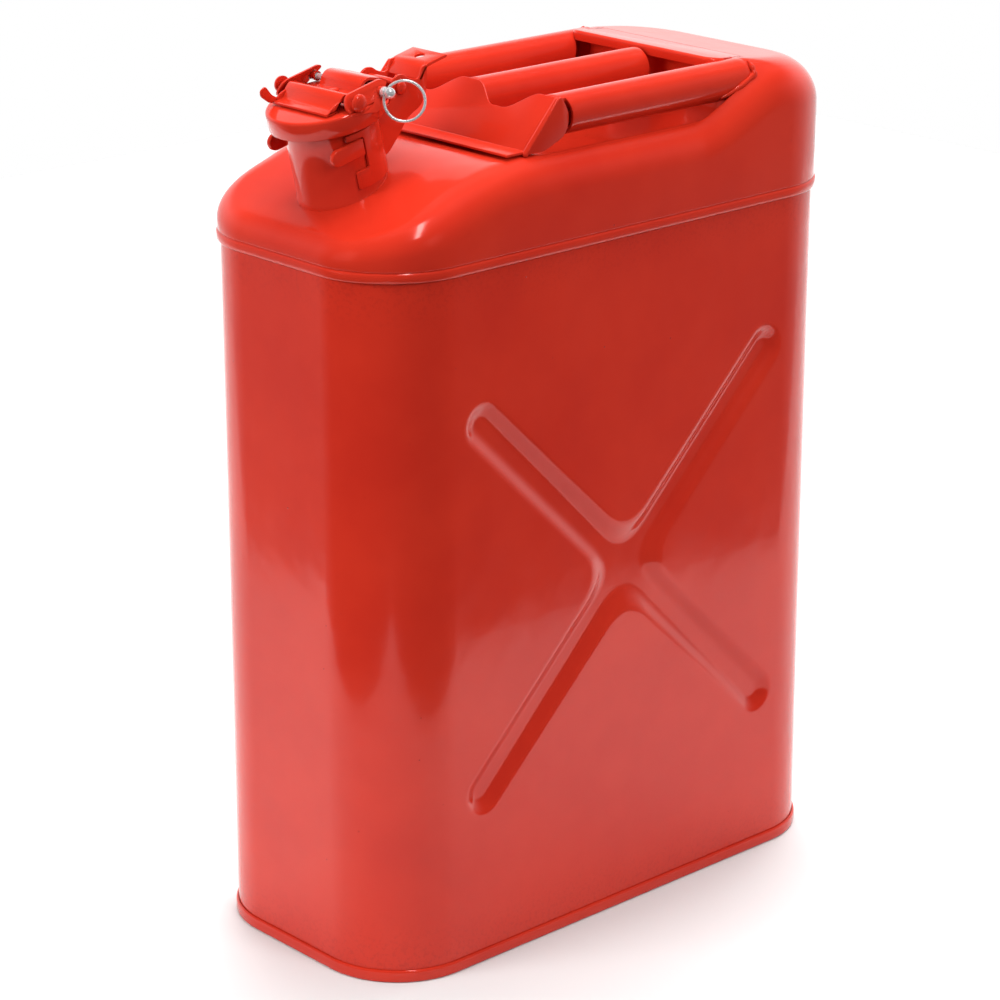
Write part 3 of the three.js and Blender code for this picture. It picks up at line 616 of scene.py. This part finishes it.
def top_pressing():
    """The upper shell: rolled seam, rounded shoulders, ledges, pocket and rear block."""
    out = -LAP
    band = [(out + 1.1, 0), (out - 0.25, 0.05), (out - 0.6, 0.5), (out - 0.6, 4.2), (out - 0.3, 4.8)]
    band += [(out + 0.5, 5.1), (out + 0.5, 5.3), (out + 0.1, 5.6), (out, 6.2)]
    rings = [level(a, SEAM_Z + z) for a, z in band]
    pocket_wall = HALF_WIDTH - out - POCKET_HALF
    turns = [TOP_EDGE["block"] * (1 - math.cos(math.radians(5 * k))) for k in range(19)]
    turns = [turn for turn in turns if abs(turn - pocket_wall) > 0.4]
    turns += [pocket_wall + step for step in (-0.9, -0.45, -0.1, 0.1)]
    for turn in sorted(turns):
        ring = []
        for x, y, nx, ny in PLAN:
            ex, ey = x - nx * (out + turn), y - ny * (out + turn)
            ring.append(Vector((ex, ey, ledge_height(ex, ey) - edge_drop(turn, y - ny * out))))
        rings.append(ring)
    verts, faces = rings_to_tube(rings)
    size = len(PLAN)
    last = len(verts) - size

    def row(j):
        """The points from the right edge to the left one, level with row j of the sides."""
        right, left = last + j, last + (2 * SIDE_ROWS + END_COLUMNS - 2 - j) % size
        if j == 0:
            return [right, *(last + size - k for k in range(1, END_COLUMNS)), left]
        if j == SIDE_ROWS - 1:
            return [right, *(right + k for k in range(1, END_COLUMNS)), left]
        x, y, _ = verts[right]
        inner = []
        for k in range(1, END_COLUMNS):
            inner.append(len(verts))
            across = lerp(x, -x, k / END_COLUMNS)
            verts.append(Vector((across, y, ledge_height(across, y))))
        return [right, *inner, left]

    before = row(0)
    for j in range(1, SIDE_ROWS):
        here = row(j)
        faces += [(before[k], here[k], here[k + 1], before[k + 1]) for k in range(END_COLUMNS)]
        before = here
    pocket_front, pocket_rear = -57, 97
    for v in verts[len(band) * size:]:
        if v.y > pocket_front - 5:
            beside = pocket_front < v.y < pocket_rear
            lip = max(1 - abs(abs(v.x) - POCKET_HALF) / SHEET, 0) if beside else 0
            v.z = min(v.z - 0.5 * lip**2, hollow_height(v.x, v.y))
    body = neck_hole(verts, faces)
    piece("top_pressing", body, enamel, "can", ["top_shell"], crease=70, thick=SHEET)


def neck_hole(verts, faces):
    """Opens the surface under the neck, with the edge of the hole inside the neck's wall."""
    to_neck = IN_NECK.inverted()
    hole = NECK_RADIUS - 0.5
    deepest = -30
    local = [to_neck @ v for v in verts]
    inside = [math.hypot(p.x, p.y) < hole for p in local]
    kept = [face for face in faces if sum(inside[i] for i in face) < 2 or local[face[0]].z < deepest]
    rim = {i for face in kept for i in face if inside[i] and local[i].z > deepest}
    for i in rim:
        stretch = hole / math.hypot(local[i].x, local[i].y)
        local[i].x *= stretch
        local[i].y *= stretch
        verts[i] = IN_NECK @ local[i]
    used = sorted({i for face in kept for i in face})
    order = {old: new for new, old in enumerate(used)}
    return [verts[i] for i in used], [tuple(order[i] for i in face) for face in kept]


# ---- Handles ----
SLOPE = Vector((math.sin(BULKHEAD_LEAN), math.cos(BULKHEAD_LEAN)))
ON_BULKHEAD = Matrix(((1, 0, 0, 0), (0, SLOPE.x, -SLOPE.y, BULKHEAD_FOOT[0]),
                      (0, SLOPE.y, SLOPE.x, BULKHEAD_FOOT[1]), (0, 0, 0, 1)))


def bulkhead_edge(x):
    """Height up the slope of the scalloped edge: a lobe over each tube and a dip between."""
    run = min(abs(x - middle) for middle in (-TUBE_X, 0, TUBE_X))
    return lerp(BULKHEAD_CREST, BULKHEAD_DIP, smoothstep(run, 5, 26))


def handle_bulkhead():
    """The sloping plate in front of the handles, with its foot, side flanges and rounded folds."""
    columns = 264
    xs = [lerp(-BULKHEAD_HALF, BULKHEAD_HALF, k / columns) for k in range(columns + 1)]
    outline = [(-BULKHEAD_HALF, 0), (BULKHEAD_HALF, 0)] + [(x, bulkhead_edge(x)) for x in xs[::-1]]
    count = len(outline)
    verts = [ON_BULKHEAD @ Vector((x, v, w)) for w in (-STRAP, 0) for x, v in outline]
    faces = [tuple(range(count)), tuple(reversed(range(count, 2 * count)))]
    faces += [(i, (i + 1) % count, count + (i + 1) % count, count + i) for i in range(count)]
    y, z = BULKHEAD_FOOT
    foot_outline = [(y - FOOT_REACH, z), (y - FOOT_REACH, z + STRAP), (y + 1, z + STRAP)]
    foot_outline += [(y + 4, z + 2.6), (y + 4, z)]
    foot = extrude(rounded(foot_outline, 0.7), -BULKHEAD_HALF, BULKHEAD_HALF)
    top = (y + SLOPE.x * BULKHEAD_CREST, z + SLOPE.y * BULKHEAD_CREST)
    flange = [(y, z), (y + 14, z), (FLANGE_BACK - 3, z + 6), (FLANGE_BACK, z + 12), (FLANGE_BACK, z + 18)]
    flange += [(FLANGE_BACK - 3, z + 23.5), (top[0] + 1.5, top[1]), top]
    bodies = [(verts, faces), foot]
    fold = 1.7
    for way in (-1, 1):
        near, far = sorted((way * (FLANGE_X - 0.2), way * (FLANGE_X - 0.2 + STRAP)))
        bodies.append(extrude(rounded(flange, 4, 5), near, far))
        fold_x = way * (FLANGE_X - 0.4)
        start = ON_BULKHEAD @ Vector((fold_x, 0.9, -0.9))
        end = ON_BULKHEAD @ Vector((fold_x, BULKHEAD_CREST - fold, -0.9))
        bodies.append(capsule(start, end, fold))
    piece("bulkhead", joined(*bodies), enamel, "can", ["handle_bulkhead"], bevel=0.4)


def capsule(start, end, radius, sides=24, caps=6):
    """A round-ended bar between two points."""
    along = end - start
    turn = along.to_track_quat("Z", "Y").to_matrix().to_4x4()
    place = Matrix.Translation(start) @ turn
    profile = arc((0, 0), radius, -90, 0, caps) + arc((0, along.length), radius, 0, 90, caps)
    return lathe(profile, place, sides)


def tube_section(radius, thickness):
    """An open tube section, its slit facing down and its two lips rolled inward."""
    slit = 28
    outside = arc((0, 0), radius, -90 + slit, 270 - slit, 72)
    inside = arc((0, 0), radius - thickness, 270 - slit, -90 + slit, 60)

    def lip(way, start):
        """The rounded edge of the sheet on one side of the slit."""
        foot = Vector((0, -radius + thickness / 2))
        foot.rotate(Matrix.Rotation(math.radians(way * slit), 2))
        turns = [math.radians(start + 30 * k) for k in range(1, 6)]
        return [foot + Vector((math.cos(a), math.sin(a))) * thickness / 2 for a in turns]

    return outside + lip(-1, 240) + inside + lip(1, 120)


def handle_tube(name, replaced, x, back):
    """A rolled handle from the bulkhead, where it is cut to the slope, to its rear end."""
    section = tube_section(TUBE_RADIUS, STRAP)
    foot_y, foot_z = BULKHEAD_FOOT

    def front_y(z):
        return foot_y + STRAP * 0.8 / SLOPE.y + (z - foot_z) * SLOPE.x / SLOPE.y

    rows = 40
    rings = []
    for k in range(rows + 1):
        ring = []
        for a, b in section:
            ring.append(Vector((x + a, lerp(front_y(TUBE_Z + b), back, k / rows), TUBE_Z + b)))
        rings.append(ring)
    verts, faces = rings_to_tube(rings)
    count = len(section)
    faces.append(tuple(reversed(range(count))))
    faces.append(tuple(range(len(verts) - count, len(verts))))
    notches = outer_tube_notches(x) if x else []
    piece(name, (verts, faces), enamel, "can", [replaced], bevel=0.35, cutters=notches, crease=50)


def outer_tube_notches(x):
    """Cutters for an outer tube: clear of the flange in front, and of the plate at the rear."""
    far_front, far_rear = -90, 120
    start = FLANGE_BACK + 2
    near, far = sorted((math.copysign(FLANGE_X - 2.5, x), math.copysign(90, x)))
    front = [(far_front, LEDGE_Z), (start - 2, LEDGE_Z), (start, TUBE_Z)]
    front += [(start - 2.5, 480), (far_front, 480)]
    front_notch = extrude(rounded(front, 12, 5), near, far)
    end, high = BLOCK_FRONT - 3, TUBE_Z + 8.5
    near, far = sorted((math.copysign(40, x), x))
    rear = [(end - 1.5, 440), (far_rear, 440), (far_rear, high), (end + 3, high), (end + 1, TUBE_Z)]
    return [front_notch, extrude(rear, near, far)]


def rear_plate():
    """The plate at the head of the rear block, rolled down along its front edge."""
    half, corner, fold, lip = bridge_high.x + 4, 9, 2.0, 5.6
    front, back = BLOCK_FRONT, bridge_high.y

    def edge(inset):
        """The plate's front edge from side to side, with its corners swept back."""
        turn = corner - inset
        right = arc((half - corner, front + corner), turn, -90, 0, 14)
        left = arc((corner - half, front + corner), turn, 180, 270, 14)
        return left + right

    def quarter(start, radius, steps):
        """The bend of the sheet between its lip and its top, as (inset, height)."""
        turns = [math.pi / 2 * k / steps for k in range(steps + 1)]
        return [(start + radius - radius * math.cos(a), radius * math.sin(a) - fold) for a in turns]

    under = quarter(STRAP, 0.6, 3)
    profile = [*under[::-1], (STRAP, -lip), (0, -lip), *quarter(0, fold, 6)]
    rings = [[Vector((p.x, p.y, down)) for p in edge(inset)] for inset, down in profile]
    verts = [v for ring in rings for v in ring]
    width = len(rings[0])
    faces = []
    for r in range(len(rings) - 1):
        for k in range(width - 1):
            here, there = r * width + k, (r + 1) * width + k
            faces.append((here, here + 1, there + 1, there))
    corners = [len(verts) + k for k in range(4)]
    low = profile[0][1]
    verts += [Vector((-half + fold, back, 0)), Vector((half - fold, back, 0))]
    verts += [Vector((-half + fold, back, low)), Vector((half - fold, back, low))]
    last = (len(rings) - 1) * width
    faces.append((*range(last, last + width), corners[1], corners[0]))
    faces.append((*reversed(range(0, width)), corners[2], corners[3]))
    faces.append((corners[0], corners[1], corners[3], corners[2]))
    left = [r * width for r in range(len(rings))]
    right = [r * width + width - 1 for r in range(len(rings))]
    faces.append((*left, corners[0], corners[2]))
    faces.append((*reversed(right), corners[3], corners[1]))
    for v in verts:
        v.z += block_height(v.y)
    piece("rear_plate", (verts, faces), enamel, "can", ["rear_bridge"], bevel=0.25)


def handle_weld(name, way):
    """The weld bead where an outer tube runs into the side of the rear block."""
    beads, sides = 24, 16
    path = []
    for x, z in arc((TUBE_X, TUBE_Z), TUBE_RADIUS + GAP, -38, 62, beads):
        low, high = 60.0, tube_high.y + 2
        for _ in range(30):
            middle = (low + high) / 2
            surface = ledge_height(x, middle) - edge_drop(HALF_WIDTH + LAP - x, middle)
            low, high = (middle, high) if surface < z else (low, middle)
        path.append(Vector((way * x, low, z)))
    rings = []
    for k, here in enumerate(path):
        along = (path[min(k + 1, len(path) - 1)] - path[max(k - 1, 0)]).normalized()
        side = along.cross(Vector((way, 0, 0.2))).normalized()
        up = side.cross(along)
        swell = math.sin(math.pi * (k + 0.6) / (beads + 1.2)) ** 0.5
        size = swell * (1.7 + 0.25 * math.sin(k * 1.1) + 0.12 * math.sin(k * 2.3))
        turns = [2 * math.pi * m / sides for m in range(sides)]
        rings.append([here + (side * math.cos(a) + up * math.sin(a)) * size for a in turns])
    verts, faces = rings_to_tube(rings)
    faces += [tuple(reversed(range(sides))), tuple(range(len(verts) - sides, len(verts)))]
    piece(name, (verts, faces), enamel, "can", [], crease=60)


# ---- Closure: everything below is drawn in the neck's tilted frame ----
def neck_pipe():
    """The drawn neck, flared at its foot, with a rolled lip."""
    r, top = NECK_RADIUS, NECK_LENGTH
    lip = arc((LIP_RADIUS - 1.1, top - 1.1), 1.1, -80, 90, 8)
    profile = [(r - SHEET, -12), (r, -12), (r + 0.9, -3.4), (r + 0.6, 0), (r, 1.4), (r, top - 3.4)]
    profile += [*lip, (r - 0.4, top), (r - SHEET, top - 0.8)]
    piece("neck_pipe", lathe(profile, IN_NECK, 128), enamel, "can", ["neck"], crease=50)


def neck_weld():
    """The brazed joint where the neck enters the shoulder."""
    points = []
    steps = 160
    for k in range(steps):
        angle = 2 * math.pi * k / steps
        x = (NECK_RADIUS + 0.3) * math.cos(angle)
        y = (NECK_RADIUS + 0.3) * math.sin(angle)
        rise = 0.0
        for _ in range(6):
            here = IN_NECK @ Vector((x, y, rise))
            rise -= here.z - ledge_height(here.x, here.y)
        points.append(IN_NECK @ Vector((x, y, rise)))
    across = IN_NECK.to_3x3() @ Vector((0, 0, 1))

    def size(k):
        return 0.5 + 0.08 * math.sin(k * 1.9) * math.sin(k * 0.37)

    piece("neck_weld", sweep(points, size, across, 12), enamel, "can", [], crease=60)


def in_neck_at(y):
    """The neck's frame moved back by y from its axis."""
    return IN_NECK @ Matrix.Translation((0, y, 0))


def vent_pipe():
    """The air tube that runs down the rear of the neck into the tank."""
    inner, outer = 2.6, 3.5
    foot, top = -60, 34
    profile = [(inner, foot), (outer, foot), (outer, top - 0.2), (3.3, top), (2.8, top), (inner, top - 0.2)]
    body = lathe(profile, in_neck_at(NECK_RADIUS - SHEET - GAP - outer), 32)
    piece("vent_pipe", body, steel, "can", ["vent_tube"], crease=50)


def catch_lug(name, way):
    """A round-ended catch welded to the side of the neck."""
    low, high, front, back = 22.5, 31.5, -22, -0.5
    half = (high - low) / 2
    outline = [(back, low), (back, high), *arc((front + half, low + half), half, 90, 270, 16)]
    near, far = sorted((way * (NECK_RADIUS + GAP), way * (NECK_RADIUS + GAP + 3)))
    piece(name, extrude(outline, near, far, IN_NECK), enamel, "can", [name], bevel=0.7)


def hinge_bracket():
    """The band round the rear of the neck, two cheeks that hold the hinge, and the drilled hasp."""
    inner, outer = NECK_RADIUS + GAP, NECK_RADIUS + GAP + 1.8
    band = lathe([(inner, 5), (outer, 5), (outer, 35), (inner, 35)], IN_NECK, 128)
    jaws = rounded([(-40, -2), (-6.5, -2), (-6.5, 14.5), (1, 14.5), (1, 31.8), (-40, 31.8)], 1.6)
    window = extrude(jaws, -40, 40, IN_NECK)
    front = extrude([(-40, 30), (-9, 30), (-9, 40), (-40, 40)], -40, 40, IN_NECK)
    piece("neck_band", band, enamel, "can", ["hinge_bracket"], bevel=0.5, cutters=[window, front])
    hy, hz = CAP_HINGE
    cheek = [(21.5, 10), (25, 11), (34, 17.5), (41, 23.8), (52, 26.6), (57, 33.5)]
    cheek += [(60, 44.3), (60, 46), (57, 46), (53, 40), (hy + 6.5, hz + 3), (hy + 4, hz + 6)]
    cheek += [(hy, hz + 7.2), (hy - 4.5, hz + 5.6), (hy - 7, hz + 1), (31.8, 35), (21.5, 35)]
    hinge_hole = bore(2.3, 20, CAP_HINGE)
    for way, label in ((1, "right"), (-1, "left")):
        near, far = sorted((way * CHEEK[0], way * CHEEK[1]))
        plate = extrude(rounded(cheek, 3.5, 5), near, far, IN_NECK)
        piece("bracket_cheek_" + label, plate, enamel, "can", [], bevel=0.35, cutters=[hinge_hole])
    hasp = [(53, 40), (54.5, 39.2), (60, 44.6), (74.5, 44.6), (74.5, 46.2), (59.4, 46.2)]
    plate = extrude(rounded(hasp, 2.5, 5), -CHEEK[1], CHEEK[1], IN_NECK)
    hole_y, hole = HASP_HOLE
    drill = lathe([(0, 30), (hole, 30), (hole, 60), (0, 60)], in_neck_at(hole_y), 40)
    piece("hasp_plate", plate, enamel, "can", [], bevel=0.3, cutters=[drill])


def domed_head(radius, height, base, middle, way):
    """A rivet head on the X axis: base is where it sits, way is the side it faces."""
    profile = [(0, base), (radius, base), (radius, base + height * 0.3)]
    for k in range(1, 6):
        angle = math.radians(15 * k)
        profile.append((radius * math.cos(angle), base + height * (0.3 + 0.7 * math.sin(angle))))
    profile.append((0, base + height))
    return lathe(facing(profile, way), along_x(middle), 40)


def hinge_rivet():
    """The hinge pin, headed over on both cheeks."""
    shaft = rod(2, -14, 14, CAP_HINGE)
    heads = [domed_head(3.4, 1.8, 13.6, CAP_HINGE, way) for way in (1, -1)]
    piece("hinge_rivet", joined(shaft, *heads), enamel, "can", ["hinge_pin"], crease=50)


def cap_lid():
    """The drawn lid of the cap, a flat top with a bent rim."""
    r, top = CAP_RADIUS, CAP_TOP
    bend = 1.7
    edge = arc((r - bend, top - bend), bend, 0, 90, 10)
    under = arc((r - bend, top - bend), bend - SHEET, 90, 0, 6)
    profile = [(r - SHEET + 0.2, CAP_BOTTOM), (r - 0.3, CAP_BOTTOM), (r, CAP_BOTTOM + 0.4), *edge]
    profile += [(0, top), (0, top - SHEET), *under]
    piece("cap_lid", lathe(profile, IN_NECK, 160), enamel, "cap_arm", ["cap"])


def gasket_ring():
    """The rubber ring under the lid, just clear of the closed neck."""
    low, high = NECK_LENGTH + GAP, CAP_TOP - SHEET - GAP
    inner, outer = 12.5, CAP_RADIUS - 3.6
    outline = rounded([(inner, low), (outer, low), (outer, high), (inner, high)], 0.5)
    body = lathe(outline, IN_NECK, 96)
    piece("gasket_ring", body, rubber, "cap_arm", ["cap_gasket"], crease=50)


def lid_rivet():
    """The rivet that holds the lid to the arm, with a head on both sides."""
    head, shank = 3, 2.1
    under, base = CAP_TOP - SHEET, CAP_TOP + STRAP + 2 * GAP
    profile = [(0, under - 1.3), (head, under - 1.3), (head, under - GAP), (shank, under - GAP)]
    profile += [(shank, base), (head, base), (head, base + 0.3)]
    profile += [(2.6, base + 0.8), (1.7, base + 1), (0, base + 1)]
    piece("lid_rivet", lathe(profile, in_neck_at(RIVET_Y), 32), enamel, "cap_arm", ["cap_rivet"], crease=50)


def arm_strap():
    """Flat on the cap, humped over the pin and curled round the hinge."""
    low = CAP_TOP + GAP + STRAP / 2
    line = [(4, low), (8, low), (11, low), (13, low + 2), (14.5, low + 4), (17, low + 5.3), (20, low + 5.2)]
    line += [(24, low + 3.4), (29, low + 1), (33, low - 1.6), (37, 44)]
    spine = smooth_line(line, 5)
    wide_end = 26
    clear = [(wide_end, 30), (60, 30), (60, 60), (wide_end, 60)]
    rivet = lathe([(0, 40), (2.4, 40), (2.4, 60), (0, 60)], in_neck_at(RIVET_Y), 32)
    cutters = [extrude(clear, -16, 16, IN_NECK), rivet]
    wide = extrude(strap_outline(spine, STRAP), -ARM_HALF, ARM_HALF, IN_NECK)
    piece("arm_strap", wide, enamel, "cap_arm", ["cap_arm"], bevel=0.45, cutters=cutters)
    slim = CHEEK[0] - 2 * GAP
    tail = strap_outline([p for p in spine if p.x > wide_end - 2], STRAP)
    piece("arm_tail", extrude(tail, -slim, slim, IN_NECK), enamel, "cap_arm", [], bevel=0.35)
    knuckle = extrude(arc(CAP_HINGE, 4, 0, 360, 40)[:-1], -slim, slim, IN_NECK)
    hinge_hole = bore(2.35, 20, CAP_HINGE)
    piece("arm_knuckle", knuckle, enamel, "cap_arm", [], bevel=0.4, cutters=[hinge_hole])


def yoke_ear(name, way):
    """A plate that leans outward past the edge of the cap and carries the pivot and the pin."""
    points = [(-6.2, 46.8), (-4.4, 46.2), (3.3, 44.8), (8.7, 43.3), (14.6, 48.4), (21.8, 53.4)]
    points += [(20.6, 55.2), (18.4, 56.1), (-2.4, 56.1), (-5.4, 54.8), (-7.4, 52.2), (-8, 49.4)]
    outline = rounded(points, 2.4, 4)
    lean = Matrix(((1, 0, -EAR_LEAN, EAR_LEAN * EAR_TOP), (0, 1, 0, 0), (0, 0, 1, 0), (0, 0, 0, 1)))
    side = Matrix.Scale(way, 4, (1, 0, 0))
    body = extrude(outline, EAR_TOP_X - STRAP, EAR_TOP_X, IN_NECK @ side @ lean)
    rim, top = CAP_RADIUS + GAP, CAP_TOP + GAP
    lid = lathe([(0, 30), (rim, 30), (rim, top), (0, top)], IN_NECK, 96)
    cutters = [lid, bore(2.75, 45, PIN_AXIS), bore(1.8, 45, LEVER_PIVOT)]
    piece(name + "_plate", body, enamel, "cap_arm", [name], bevel=0.4, cutters=cutters)


def ear_x(z):
    """Distance of an ear's outer face from the middle plane, at height z."""
    return EAR_TOP_X + EAR_LEAN * (EAR_TOP - z)


def pin_bush(name, way):
    """The lining of the pin's hole in one ear."""
    outer = ear_x(PIN_AXIS[1]) + 0.9
    inner, radius = outer - 6.2, 2.6
    profile = [(PIN_RADIUS + 0.2, inner), (radius, inner), (radius, outer - 0.3)]
    profile += [(2.3, outer), (PIN_RADIUS + 0.4, outer)]
    body = lathe(facing(profile, way), along_x(PIN_AXIS), 40)
    piece(name + "_sleeve", body, enamel, "cap_arm", [name], crease=50)


def pivot_bosses():
    """The lever's shaft, with a large domed head on the outside of each ear."""
    face = ear_x(LEVER_PIVOT[1] - 4.3) + GAP
    shaft = rod(1.6, -face - 0.5, face + 0.5, LEVER_PIVOT)
    heads = []
    profile = [(0, face), (BOSS_RADIUS, face)]
    for k in range(9):
        angle = math.radians(10 * k)
        profile.append((BOSS_RADIUS * math.cos(angle), face + 0.8 + 2.4 * math.sin(angle)))
    profile.append((0, face + 3.2))
    for way in (1, -1):
        heads.append(lathe(facing(profile, way), along_x(LEVER_PIVOT), 48))
    piece("pivot_bosses", joined(shaft, *heads), enamel, "cap_arm", ["lever_pivot"], crease=50)


def lever_sheet():
    """The thumb lever: a lip on the cap, a sloping face and a roll round the pivot."""
    py, pz = LEVER_PIVOT
    line = [(py - 15.2, pz - 2.45), (py - 12, pz - 2.5), (py - 8.8, pz - 2.4)]
    line += [(py - 6, pz - 0.4), (py - 3.6, pz + 1.9), (py - 1.4, pz + 3.1)]
    spine = smooth_line(line, 5) + arc(LEVER_PIVOT, 2.7, 55, -70, 14)
    sheet = extrude(strap_outline(spine, SHEET), -LEVER_HALF, LEVER_HALF, IN_NECK)
    piece("lever_sheet", sheet, enamel, "thumb_lever", ["thumb_lever"], bevel=0.35)
    end = [(py - 15, pz - 2.9), (py - 7.5, pz - 2.9), (py - 3, pz + 1.4)]
    end = rounded(end + [(py - 8.6, pz + 0.6), (py - 12, pz - 0.8)], 1.5)
    near, far = LEVER_HALF - SHEET, LEVER_HALF
    right_end = extrude(end, near, far, IN_NECK)
    left_end = extrude(end, -far, -near, IN_NECK)
    piece("lever_end_right", right_end, enamel, "thumb_lever", [], bevel=0.3)
    piece("lever_end_left", left_end, enamel, "thumb_lever", [], bevel=0.3)
    tab = [(py - 12, pz - 2.9), (py - 17, pz - 2.4), (py - 21.8, pz + 3.2), (py - 21.4, pz + 6.4)]
    tab += [(py - 17.6, pz + 7.6), (py - 16.2, pz + 4.6), (py - 14.8, pz + 1.6), (py - 12, pz - 0.8)]
    leaf = extrude(rounded(tab, 4, 6), -far, -near, IN_NECK)
    piece("lever_thumb_tab", leaf, enamel, "thumb_lever", [], bevel=0.35)


def pin_and_ring():
    """The locking pin with its collar and ball, and the wire ring through its cross hole."""
    x, tip = PIN_HEAD_X, -29
    collar, hole = 2.7, 1.25
    profile = [(0, tip), (1.3, tip), (PIN_RADIUS, tip + 0.6), (PIN_RADIUS, x - 2.2)]
    profile += [(collar - 0.2, x - 2), (collar, x - 1.7), (collar, x + 0.6)]
    profile += arc((0, x + 3.2), 2.9, -55, 90, 14)
    turned = Matrix.Rotation(RING_AXIS - math.pi / 2, 4, "X")
    across_pin = IN_NECK @ Matrix.Translation((x, *PIN_AXIS)) @ turned
    drill = lathe([(0, -6), (hole, -6), (hole, 6), (0, 6)], across_pin, 24)
    body = lathe(profile, along_x(PIN_AXIS), 48)
    piece("lock_pin_rod", body, steel, "lock_pin", ["lock_pin"], cutters=[drill],
          crease=50)
    along = Vector((0, math.cos(RING_AXIS), math.sin(RING_AXIS)))
    hang = Vector((0, math.sin(RING_AXIS), -math.cos(RING_AXIS)))
    out = hang * math.cos(RING_SWUNG) + Vector((math.sin(RING_SWUNG), 0, 0))
    middle = Vector((x, *PIN_AXIS)) + out * RING_RADIUS
    steps = 96
    path = []
    for k in range(steps):
        angle = 2 * math.pi * k / steps
        spoke = out * math.cos(angle) + along * math.sin(angle)
        path.append(IN_NECK @ (middle + spoke * RING_RADIUS))
    wire = sweep(path, RING_WIRE, IN_NECK.to_3x3() @ out.cross(along))
    piece("ring_wire", wire, steel, "pull_ring", ["pull_ring"], crease=60)


tank_sleeve()
base_rim()
top_pressing()
handle_bulkhead()
handle_tube("handle_left", "handle_tube_left", -TUBE_X, tube_high.y)
handle_tube("handle_center", "handle_tube_center", 0, BLOCK_FRONT - 2)
handle_tube("handle_right", "handle_tube_right", TUBE_X, tube_high.y)
rear_plate()
handle_weld("weld_right", 1)
handle_weld("weld_left", -1)
neck_pipe()
neck_weld()
vent_pipe()
catch_lug("neck_lug_right", 1)
catch_lug("neck_lug_left", -1)
hinge_bracket()
hinge_rivet()
cap_lid()
gasket_ring()
lid_rivet()
arm_strap()
yoke_ear("yoke_ear_right", 1)
yoke_ear("yoke_ear_left", -1)
pin_bush("pin_bush_right", 1)
pin_bush("pin_bush_left", -1)
pivot_bosses()
lever_sheet()
pin_and_ring()

# ---- Floor, light and camera ----
FLOOR_X = (-1.6, 0.44)
FLOOR_Y = (-0.55, 1.6)
FLOOR_Z = -0.0002
LENS = 118.85
EYE = (1.28766, -1.19979, 0.83669)
AZIMUTH = math.radians(47.467)
ELEVATION = math.radians(19.251)


def stage_floor():
    """A pale floor that ends short of the camera and runs out behind the can."""
    (left, right), (front, back) = FLOOR_X, FLOOR_Y
    corners = [(left, front), (right, front), (right, back), (left, back)]
    mesh = bpy.data.meshes.new("floor")
    mesh.from_pydata([(x, y, FLOOR_Z) for x, y in corners], [], [(0, 1, 2, 3)])
    floor = bpy.data.objects.new("floor", mesh)
    bpy.context.scene.collection.objects.link(floor)
    material, _, shader, _ = new_material("pale_floor", (0.72, 0.72, 0.72))
    shader.inputs["Roughness"].default_value = 0.9
    mesh.materials.append(material)


def aim(obj, target):
    """Turns a lamp towards a point."""
    obj.rotation_euler = (Vector(target) - obj.location).to_track_quat("-Z", "Y").to_euler()


def softbox(name, place, target, width, height, power, mirrored=False):
    """A rectangular lamp; mirrored says whether glossy paint shows its reflection."""
    light = bpy.data.lights.new(name, "AREA")
    light.shape = "RECTANGLE"
    light.size = width
    light.size_y = height
    light.energy = power
    lamp = bpy.data.objects.new(name, light)
    lamp.location = place
    lamp.visible_glossy = mirrored
    aim(lamp, target)
    bpy.context.scene.collection.objects.link(lamp)


def studio_world():
    """White behind the object, dim on the camera's side, white wherever the camera looks at it."""
    world = bpy.data.worlds.new("studio")
    bpy.context.scene.world = world
    world.use_nodes = True
    tree = world.node_tree
    direction = node(tree, "TexCoord").outputs["Generated"]
    wall_side = (-0.73, 0.68, 0)
    wall_light, room_light = 0.95, 0.11
    facing_wall = node(tree, "VectorMath", {0: direction, 1: wall_side}, operation="DOT_PRODUCT")
    height = node(tree, "SeparateXYZ", {"Vector": direction}).outputs["Z"]
    backdrop = ramp(tree, facing_wall.outputs["Value"], -0.1, 0.6, 0.0, wall_light)
    wall = product(tree, backdrop, ramp(tree, height, 0.40, 0.66, 1.0, 0.0))
    glow = node(tree, "Math", {0: wall, 1: room_light}, operation="ADD").outputs[0]
    camera_ray = node(tree, "LightPath").outputs["Is Camera Ray"]
    seen = {"Factor": camera_ray, 2: glow, 3: 1.0}
    strength = node(tree, "Mix", seen, data_type="FLOAT").outputs[0]
    tree.links.new(strength, tree.nodes["Background"].inputs["Strength"])
    tree.nodes["Background"].inputs["Color"].default_value = (1, 1, 1, 1)


def camera():
    """Looks down at the front right edge of the can."""
    data = bpy.data.cameras.new("camera")
    data.lens = LENS
    data.sensor_width = 36
    eye = bpy.data.objects.new("camera", data)
    eye.location = EYE
    eye.rotation_euler = (math.pi / 2 - ELEVATION, 0, AZIMUTH)
    bpy.context.scene.collection.objects.link(eye)
    bpy.context.scene.camera = eye


stage_floor()
studio_world()
softbox("overhead", (-0.2, 0.3, 1.9), (0, 0, 0.3), 1.6, 1.6, 29)
softbox("backdrop", (-0.9, 1.2, 1.5), (-0.7, 1.0, 0), 1.9, 1.9, 54)
softbox("front", (-0.5, -1.9, 1.1), (0, -0.1, 0.3), 0.9, 1.4, 36)
softbox("side", (2.1, 0.1, 1.5), (0, 0, 0.25), 0.8, 0.8, 27)
softbox("sparkle", (0.5, -0.2, 1.7), (0, 0, 0.4), 0.12, 1.0, 6, mirrored=True)
camera()
bpy.context.scene.view_settings.view_transform = "Standard"
